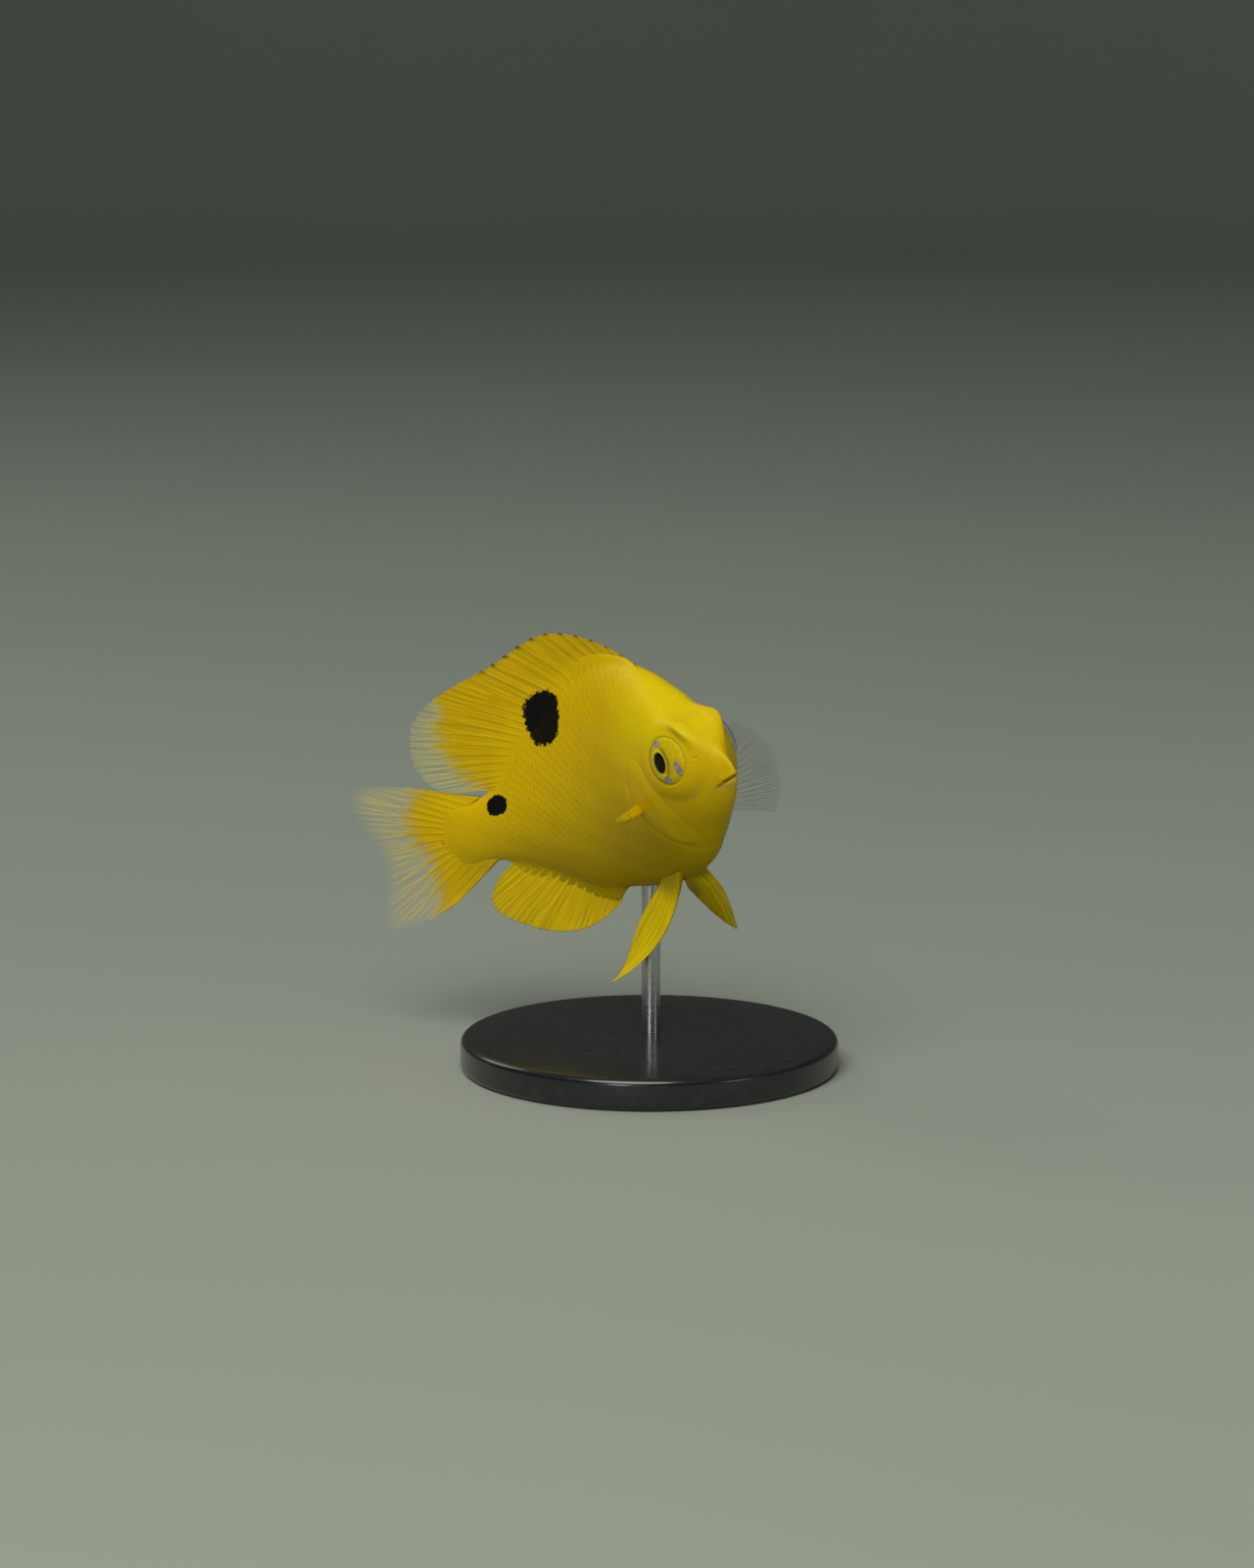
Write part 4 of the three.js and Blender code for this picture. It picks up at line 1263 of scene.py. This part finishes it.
def margin_curve(stations):
    """A smooth curve through stations, walked evenly from 0 to 1."""
    walk = np.arange(len(stations))
    places = smooth_through(list(zip(walk, [s[0] for s in stations])))
    heights = smooth_through(list(zip(walk, [s[1] for s in stations])))
    return lambda part: (places(part * (len(stations) - 1)), heights(part * (len(stations) - 1)))


spiny_margin = margin_curve([
    (12.2, 11.3), (15.4, 13.15), (18.5, 14.75), (21.4, 15.9), (24.3, 16.5), (27.2, 16.1), (29.9, 15.35),
    (32.3, 14.8),
])
soft_margin = margin_curve([
    (32.6, 14.75), (36.8, 14.0), (39.6, 13.2), (41.9, 11.6), (42.9, 9.0), (42.4, 6.4), (40.6, 4.6),
    (37.6, 3.9),
])
anal_margin = margin_curve([
    (25.4, -10.4), (28.0, -11.5), (30.8, -11.9), (34.0, -11.3), (36.9, -9.9), (39.1, -8.2),
    (39.2, -6.5), (37.6, -4.9),
])
tail_margin = margin_curve([
    (44.4, 6.05), (47.5, 7.1), (50.0, 7.4), (51.1, 6.0), (50.6, 3.8), (49.7, 1.0), (50.0, -1.8),
    (51.1, -4.8), (51.2, -7.0), (47.4, -7.2), (43.0, -6.2),
])
print("middle of the tail's margin:", [round(float(value), 1) for value in tail_margin(0.5)], "mm")

# %% Surfaces of the middle fins
DORSAL_SPINES = 12
DORSAL_SOFT = 15
ROOT_DEPTH = 0.3             # how deep the bases lie under the line of the back or belly
DORSAL_FROM = 11.6           # behind the snout, then the lengths of the base under each kind of ray
SPINY_BASE = 13.8
BETWEEN_BASE = 0.6
SOFT_BASE = 8.6
ANAL_FROM = 24.0
ANAL_BASE = 10.8
TAIL_FROM = 40.3
TAIL_FOOT = 3.4              # how far the outermost rays of the tail start ahead of the middle ones
TAIL_HALF = 3.1              # half the height of the row of their roots


def lofted(foot, tip, along):
    place = foot[0] + (tip[0] - foot[0]) * along
    height = foot[1] + (tip[1] - foot[1]) * along
    return np.stack([-place, np.zeros_like(place), height], -1)


def dorsal_surface(at, along):
    ray = at * (DORSAL_SPINES + DORSAL_SOFT - 1)
    last_spine = DORSAL_SPINES - 1
    spiny_part = np.clip(ray / last_spine, 0, 1)
    soft_part = np.clip((ray - DORSAL_SPINES) / (DORSAL_SOFT - 1), 0, 1)
    between = np.clip(ray - last_spine, 0, 1)
    base = DORSAL_FROM + SPINY_BASE * spiny_part + BETWEEN_BASE * between + SOFT_BASE * soft_part
    spiny = spiny_margin(spiny_part)
    soft = soft_margin(soft_part)
    tip = [a * (1 - between) + b * between for a, b in zip(spiny, soft)]
    return lofted((base, back_line(base) - ROOT_DEPTH), tip, along)


def anal_surface(at, along):
    base = ANAL_FROM + ANAL_BASE * at
    return lofted((base, belly_line(base) + ROOT_DEPTH), anal_margin(at), along)


def tail_surface(at, along):
    outer = np.abs(2 * at - 1) ** 3
    foot = (TAIL_FROM - TAIL_FOOT * outer, TAIL_HALF * (1 - 2 * at))
    return lofted(foot, tail_margin(at), along)


print("rays of the back fin:", DORSAL_SPINES + DORSAL_SOFT)

# %% Build the middle fins
ANAL_RAYS = 15
TAIL_RAYS = 17
dorsal_sheet = fin_sheet(
    dorsal_surface, DORSAL_SPINES + DORSAL_SOFT, 64, ray_height=0.06, root=0.4, flesh_reach=0.2,
    soft=lambda ray: smoothstep(ray, DORSAL_SPINES - 0.8, DORSAL_SPINES - 0.2), notch=0.03, wave=0.12)
anal_sheet = fin_sheet(anal_surface, ANAL_RAYS, 56, ray_height=0.08, notch=0.04, wave=0.15)
tail_sheet = fin_sheet(tail_surface, TAIL_RAYS, 80, ray_height=0.06, root=0.34, flesh_reach=0.26, wave=0.2)


def add_fin(name, sheet, material, ride_at=None):
    points, web, faces = sheet
    made = add_mesh(name, points, faces, material, ride_at, web=web)
    return made


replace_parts(add_fin("dorsal_fin", dorsal_sheet, dorsal_look), "dorsal_fin_spiny", "dorsal_fin_soft")
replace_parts(add_fin("belly_rear_fin", anal_sheet, anal_look), "anal_fin")
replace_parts(add_fin("tail_fin", tail_sheet, tail_look), "caudal_fin")

# %% [markdown]
# ## Paired fins
# The breast fins row: the right one is swept forward, the left one spreads out to the side. Their web is
# almost as clear as glass beyond a yellow root. The two belly fins end in a long first ray. Each is a
# fan of rays from a short base line, with a direction and a length for each ray. Bones would suit a fin
# that moves, but this fish keeps still.

# %% Fans


def fan_surface(upper, lower, directions, lengths, cup, bow_first=(0, 0, 0), bow_last=(0, 0, 0)):
    """A fan of rays between two ends of its base, with a bow of its first and of its last ray."""
    upper, lower, bow_first, bow_last = [np.array(v, float) for v in (upper, lower, bow_first, bow_last)]
    first, middle, last = unit(np.array(directions, float))
    length_at = smooth_through(lengths)
    span = unit(last - first)

    def surface(at, along):
        a = at[..., None]
        t = along[..., None]
        way = unit(first * 2 * (a - 0.5) * (a - 1) + middle * 4 * a * (1 - a) + last * 2 * a * (a - 0.5))
        point = upper + (lower - upper) * a + way * length_at(at)[..., None] * t
        bow = bow_first * (1 - a) + bow_last * a
        return point + bow * 4 * t * (1 - t) + unit(np.cross(way, span)) * cup * t * t

    return surface


pectoral_left = fan_surface(
    (-13.3, 3.5, -0.9), (-12.6, 3.2, -3.9),
    [(-0.43, 0.82, 0.38), (-0.37, 0.93, 0.04), (-0.34, 0.9, -0.27)],
    [(0, 10.2), (0.25, 12.0), (0.55, 12.4), (0.85, 11.2), (1, 10.2)], 0.4)
pectoral_right = fan_surface(
    (-13.3, -3.5, -0.9), (-12.6, -3.2, -3.9),
    [(0.71, -0.71, -0.02), (0.72, -0.68, -0.13), (0.69, -0.68, -0.24)],
    [(0, 10.6), (0.25, 11.0), (0.6, 9.8), (0.85, 7.6), (1, 6.2)], 0.3)
pelvic_left = fan_surface(
    (-14.4, 1.3, -8.5), (-17.2, 0.9, -8.9),
    [(-0.63, 0.54, -0.54), (-0.58, 0.49, -0.64), (-0.77, 0.47, -0.41)],
    [(0, 11.3), (0.14, 13.2), (0.3, 11.4), (0.6, 8.4), (1, 4.6)], 0.1, (0.3, 0.46, -0.1))
pelvic_right = fan_surface(
    (-14.2, -1.3, -8.5), (-17.3, -0.9, -8.9),
    [(-0.668, -0.419, -0.615), (-0.738, -0.267, -0.619), (-0.78, -0.203, -0.592)],
    [(0, 13.4), (0.2, 12.9), (0.5, 11.5), (0.8, 10.0), (1, 8.6)], 0.1,
    (0.72, 0.87, -1.38), (-0.2, -0.32, 0.1))
print("tip of a belly fin:", pelvic_right(np.zeros(1), np.ones(1)).round(1)[0], "mm")

# %% Build the paired fins
PECTORAL_RAYS = 16
PELVIC_RAYS = 6
PECTORAL_RIDE = 13.8         # the place whose turn of the spine the whole fin takes, so that it isn't bent
PELVIC_RIDE = 15.6
LOBE_GLASS = rgb(150, 132, 30)
CLEAR_GLASS = rgb(96, 98, 72)
# the lobe's bright yellow is partly its own colour and partly painted light that it catches from above
lobed_look = fin_material("lobed_web", rgb(255, 226, 10), clear_past=(0.34, 0.5),
                          glass=(LOBE_GLASS, LOBE_GLASS), web_alpha=0.01, ray_alpha=0.07)
clear_look = fin_material("clear_web", clear_past=(0.0, 0.06), glass=(CLEAR_GLASS, CLEAR_GLASS),
                          web_alpha=0.02, ray_alpha=0.2, root_end=0.05)
pelvic_look = fin_material("pelvic_web", rgb(255, 226, 4), rgb(226, 184, 6))
for side_name, pectoral, pectoral_look, pelvic in (("left", pectoral_left, clear_look, pelvic_left),
                                                   ("right", pectoral_right, lobed_look, pelvic_right)):
    sheet = fin_sheet(pectoral, PECTORAL_RAYS, 60, ray_height=0.06, root=0.3, notch=0.03)
    breast = add_fin("breast_fin_" + side_name, sheet, pectoral_look, PECTORAL_RIDE)
    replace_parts(breast, "pectoral_fin_" + side_name)
    sheet = fin_sheet(pelvic, PELVIC_RAYS, 70, per_ray=16, root=0.35, notch=0.0)
    belly = add_fin("belly_fin_" + side_name, sheet, pelvic_look, PELVIC_RIDE)
    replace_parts(belly, "pelvic_fin_" + side_name)

# %% [markdown]
# ## The stand
# A plain round base and one thin rod hold the fish in the air. Their solids have the right shape but
# coarse sides and sharp edges. A bevel on a cylinder would soften them too. Here both are turned from a
# profile, as on a lathe, so that the rounding is part of the mesh.

# %% Lathe


def spun(profile, sides, centre=(0.0, 0.0)):
    """Rings of points about an upright axis, from (radius, height) points, with one point at each end."""
    turn = np.arange(sides) / sides * 2 * math.pi
    ring = np.array(profile[1:-1], float)
    x = ring[:, :1] * np.cos(turn)[None] + centre[0]
    y = ring[:, :1] * np.sin(turn)[None] + centre[1]
    z = np.repeat(ring[:, 1:], sides, axis=1)
    ends = [[[*centre, height]] for height in (profile[0][1], profile[-1][1])]
    return np.concatenate([ends[0], np.stack([x, y, z], -1).reshape(-1, 3), ends[1]])


def turned(name, profile, centre, material, sides=160):
    """A solid of revolution, from a profile in millimetres."""
    points = spun(profile, sides, centre) * MM
    made = mesh_object(name, points, tube_faces(len(profile) - 2, sides), material)
    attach(made, "root")
    return made


def rounded(radius, height, corner, steps=8):
    """The outline of a disc whose top and bottom edges are rounded."""
    bend_up = np.linspace(0, math.pi / 2, steps)
    low = [(radius - corner + corner * math.sin(a), corner - corner * math.cos(a)) for a in bend_up]
    high = [(r, height - z) for r, z in reversed(low)]
    return [(0, 0), (radius * 0.5, 0)] + low + high + [(radius * 0.5, height), (0, height)]


print("points of a rounded profile:", len(rounded(18.0, 3.0, 0.6)))

# %% [markdown]
# ## The finish of the stand
# A museum's stand keeps out of the way: black lacquer with a little dust for the base, and brushed steel
# for the rod. Plain colours would look unreal beside the fish, so noise breaks the shine of both, and for
# the rod it is stretched along its length, as brushing does.

# %% Stand materials


def base_material():
    """Black lacquer with a little dust and slow changes of its shine."""
    made, tree, shader = new_material("black_lacquer")
    place = add_node(tree, "ShaderNodeTexCoord").outputs["Object"]
    dust = ramp(noise(place, 900.0), 0.45, 0.8, 0.0, 0.35)
    set_inputs(shader, Base_Color=mix(dust, rgb(26, 27, 29), rgb(62, 63, 66)), Coat_Weight=0.4,
               Roughness=ramp(noise(place, 90.0, 4.0), 0.3, 0.7, 0.22, 0.34))
    return made


def rod_material():
    """Steel brushed along the rod."""
    made, tree, shader = new_material("brushed_steel")
    place = add_node(tree, "ShaderNodeTexCoord").outputs["Object"]
    stretched = add_node(tree, "ShaderNodeMapping", Vector=place, Scale=(1.0, 1.0, 14.0)).outputs[0]
    lines = noise(stretched, 700.0)
    set_inputs(shader, Base_Color=mix(lines, rgb(176, 178, 180), rgb(206, 207, 208)), Metallic=1.0,
               Roughness=ramp(lines, 0.3, 0.7, 0.24, 0.38))
    return made


# %% Build the stand
BASE_RADIUS = 18.0
BASE_HEIGHT = 3.0
BASE_CORNER = 0.6
ROD_RADIUS = 0.9
ROD_FOOT = (1.0, 1.6)
ROD_SUNK = 2.6               # it starts at this height, inside the base
base = turned("display_base", rounded(BASE_RADIUS, BASE_HEIGHT, BASE_CORNER), (0.0, 0.0), base_material())
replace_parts(base, "stand_base")
rod_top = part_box("stand_rod")[1].z / MM - 0.1
rod_heights = (ROD_SUNK, BASE_HEIGHT, rod_top - 0.3, rod_top)
rod_profile = [(0, ROD_SUNK)] + [(ROD_RADIUS, height) for height in rod_heights] + [(0, rod_top)]
rod = turned("display_rod", rod_profile, ROD_FOOT, rod_material(), sides=48)
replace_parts(rod, "stand_rod")

# %% [markdown]
# ## The stage
# The fish in the photo is lit softly from above. In the studio a pale floor that curves up all round
# gives the same calm background from every side. One wide lamp overhead gives the soft light, two
# small low ones open the shadows under the chin and belly, and one behind draws the edges. A picture of
# a sky could light the fish too, but four lamps are easy to move one by one.

# %% Floor
FLOOR_RADIUS = 1.4
FLOOR_RISE = 0.5             # of the curve
FLOOR_TOP = 1.2
FLOOR_SIDES = 96
FLOOR_DROP = 0.00005         # just under the base, so that the two don't flicker


def floor_material():
    made, tree, shader = new_material("pale_paper")
    place = add_node(tree, "ShaderNodeTexCoord").outputs["Object"]
    paper = mix(noise(place, 3.0), rgb(158, 167, 153), rgb(168, 176, 161))
    set_inputs(shader, Base_Color=paper, Roughness=0.9)
    return made


def studio_bowl():
    profile = [(0.0, 0.0), (0.3, 0.0), (FLOOR_RADIUS, 0.0)]
    profile += [(FLOOR_RADIUS + FLOOR_RISE * math.sin(a), FLOOR_RISE - FLOOR_RISE * math.cos(a))
                for a in np.linspace(0, math.pi / 2, 24)[1:]]
    profile += [(FLOOR_RADIUS + FLOOR_RISE, FLOOR_TOP), (0.0, FLOOR_TOP)]
    faces = tube_faces(len(profile) - 2, FLOOR_SIDES, closed_end=False)
    points = spun(profile, FLOOR_SIDES)[:-1]
    floor = mesh_object("floor", points, [face[::-1] for face in faces], floor_material())
    floor.location.z = -FLOOR_DROP
    return floor


studio_bowl()

# %% Lights
MIDDLE = Vector((0.0, 0.0, 0.028))
LAMPS = [                    # name, place, size, power and colour
    ("overhead", (-0.3, -0.32, 0.6), 0.55, 3.6, (1.0, 0.985, 0.95)),
    ("front_fill", (0.3, -0.62, 0.13), 0.22, 0.2, (1.0, 0.98, 0.94)),
    ("low_fill", (-0.42, -0.42, 0.09), 0.14, 0.36, (1.0, 0.98, 0.94)),
    ("back_rim", (-0.3, 0.6, 0.5), 0.4, 0.7, (0.95, 0.98, 1.0)),
]
for name, place, size, power, colour in LAMPS:
    light = bpy.data.lights.new(name, "AREA")
    light.shape = "DISK"
    light.size = size
    light.energy = power
    light.color = colour
    lamp = bpy.data.objects.new(name, light)
    lamp.location = place
    lamp.rotation_euler = (MIDDLE - Vector(place)).to_track_quat("-Z", "Y").to_euler()
    bpy.context.scene.collection.objects.link(lamp)
world = bpy.data.worlds.new("studio")
world.use_nodes = True
set_inputs(world.node_tree.nodes["Background"], Color=(0.80, 0.84, 0.86, 1.0), Strength=0.155)
bpy.context.scene.world = world
bpy.context.scene.view_settings.view_transform = "Standard"
print("lamps:", len(LAMPS))

# %% [markdown]
# ## The camera
# The camera looks at the fish from ahead, on its right, ten degrees above it. Its distance and lens make
# one millimetre at the snout as long in the frame as in the photo. A constraint could aim it at the
# fish. Three axes written out say the same and are exact.

# %% Camera
AZIMUTH = math.radians(-27.16)
ELEVATION = math.radians(10.0)
DISTANCE = 0.3999            # from the snout, with the view's middle this far left of it and under it
SNOUT_RIGHT = 0.009678
SNOUT_UP = 0.001378
LENS = 101.24
back = Vector((math.sin(AZIMUTH) * math.cos(ELEVATION), -math.cos(AZIMUTH) * math.cos(ELEVATION),
               math.sin(ELEVATION)))
right = Vector((math.cos(AZIMUTH), math.sin(AZIMUTH), 0.0))
upward = back.cross(right)
camera_data = bpy.data.cameras.new("camera")
camera_data.lens = LENS
camera_data.sensor_width = 36.0
camera = bpy.data.objects.new("camera", camera_data)
camera.location = Vector(SNOUT_PLACE * MM) - right * SNOUT_RIGHT - upward * SNOUT_UP + back * DISTANCE
camera.rotation_euler = Matrix((right, upward, back)).transposed().to_euler()
bpy.context.scene.collection.objects.link(camera)
bpy.context.scene.camera = camera
print("camera height:", round(camera.location.z, 3), "m")
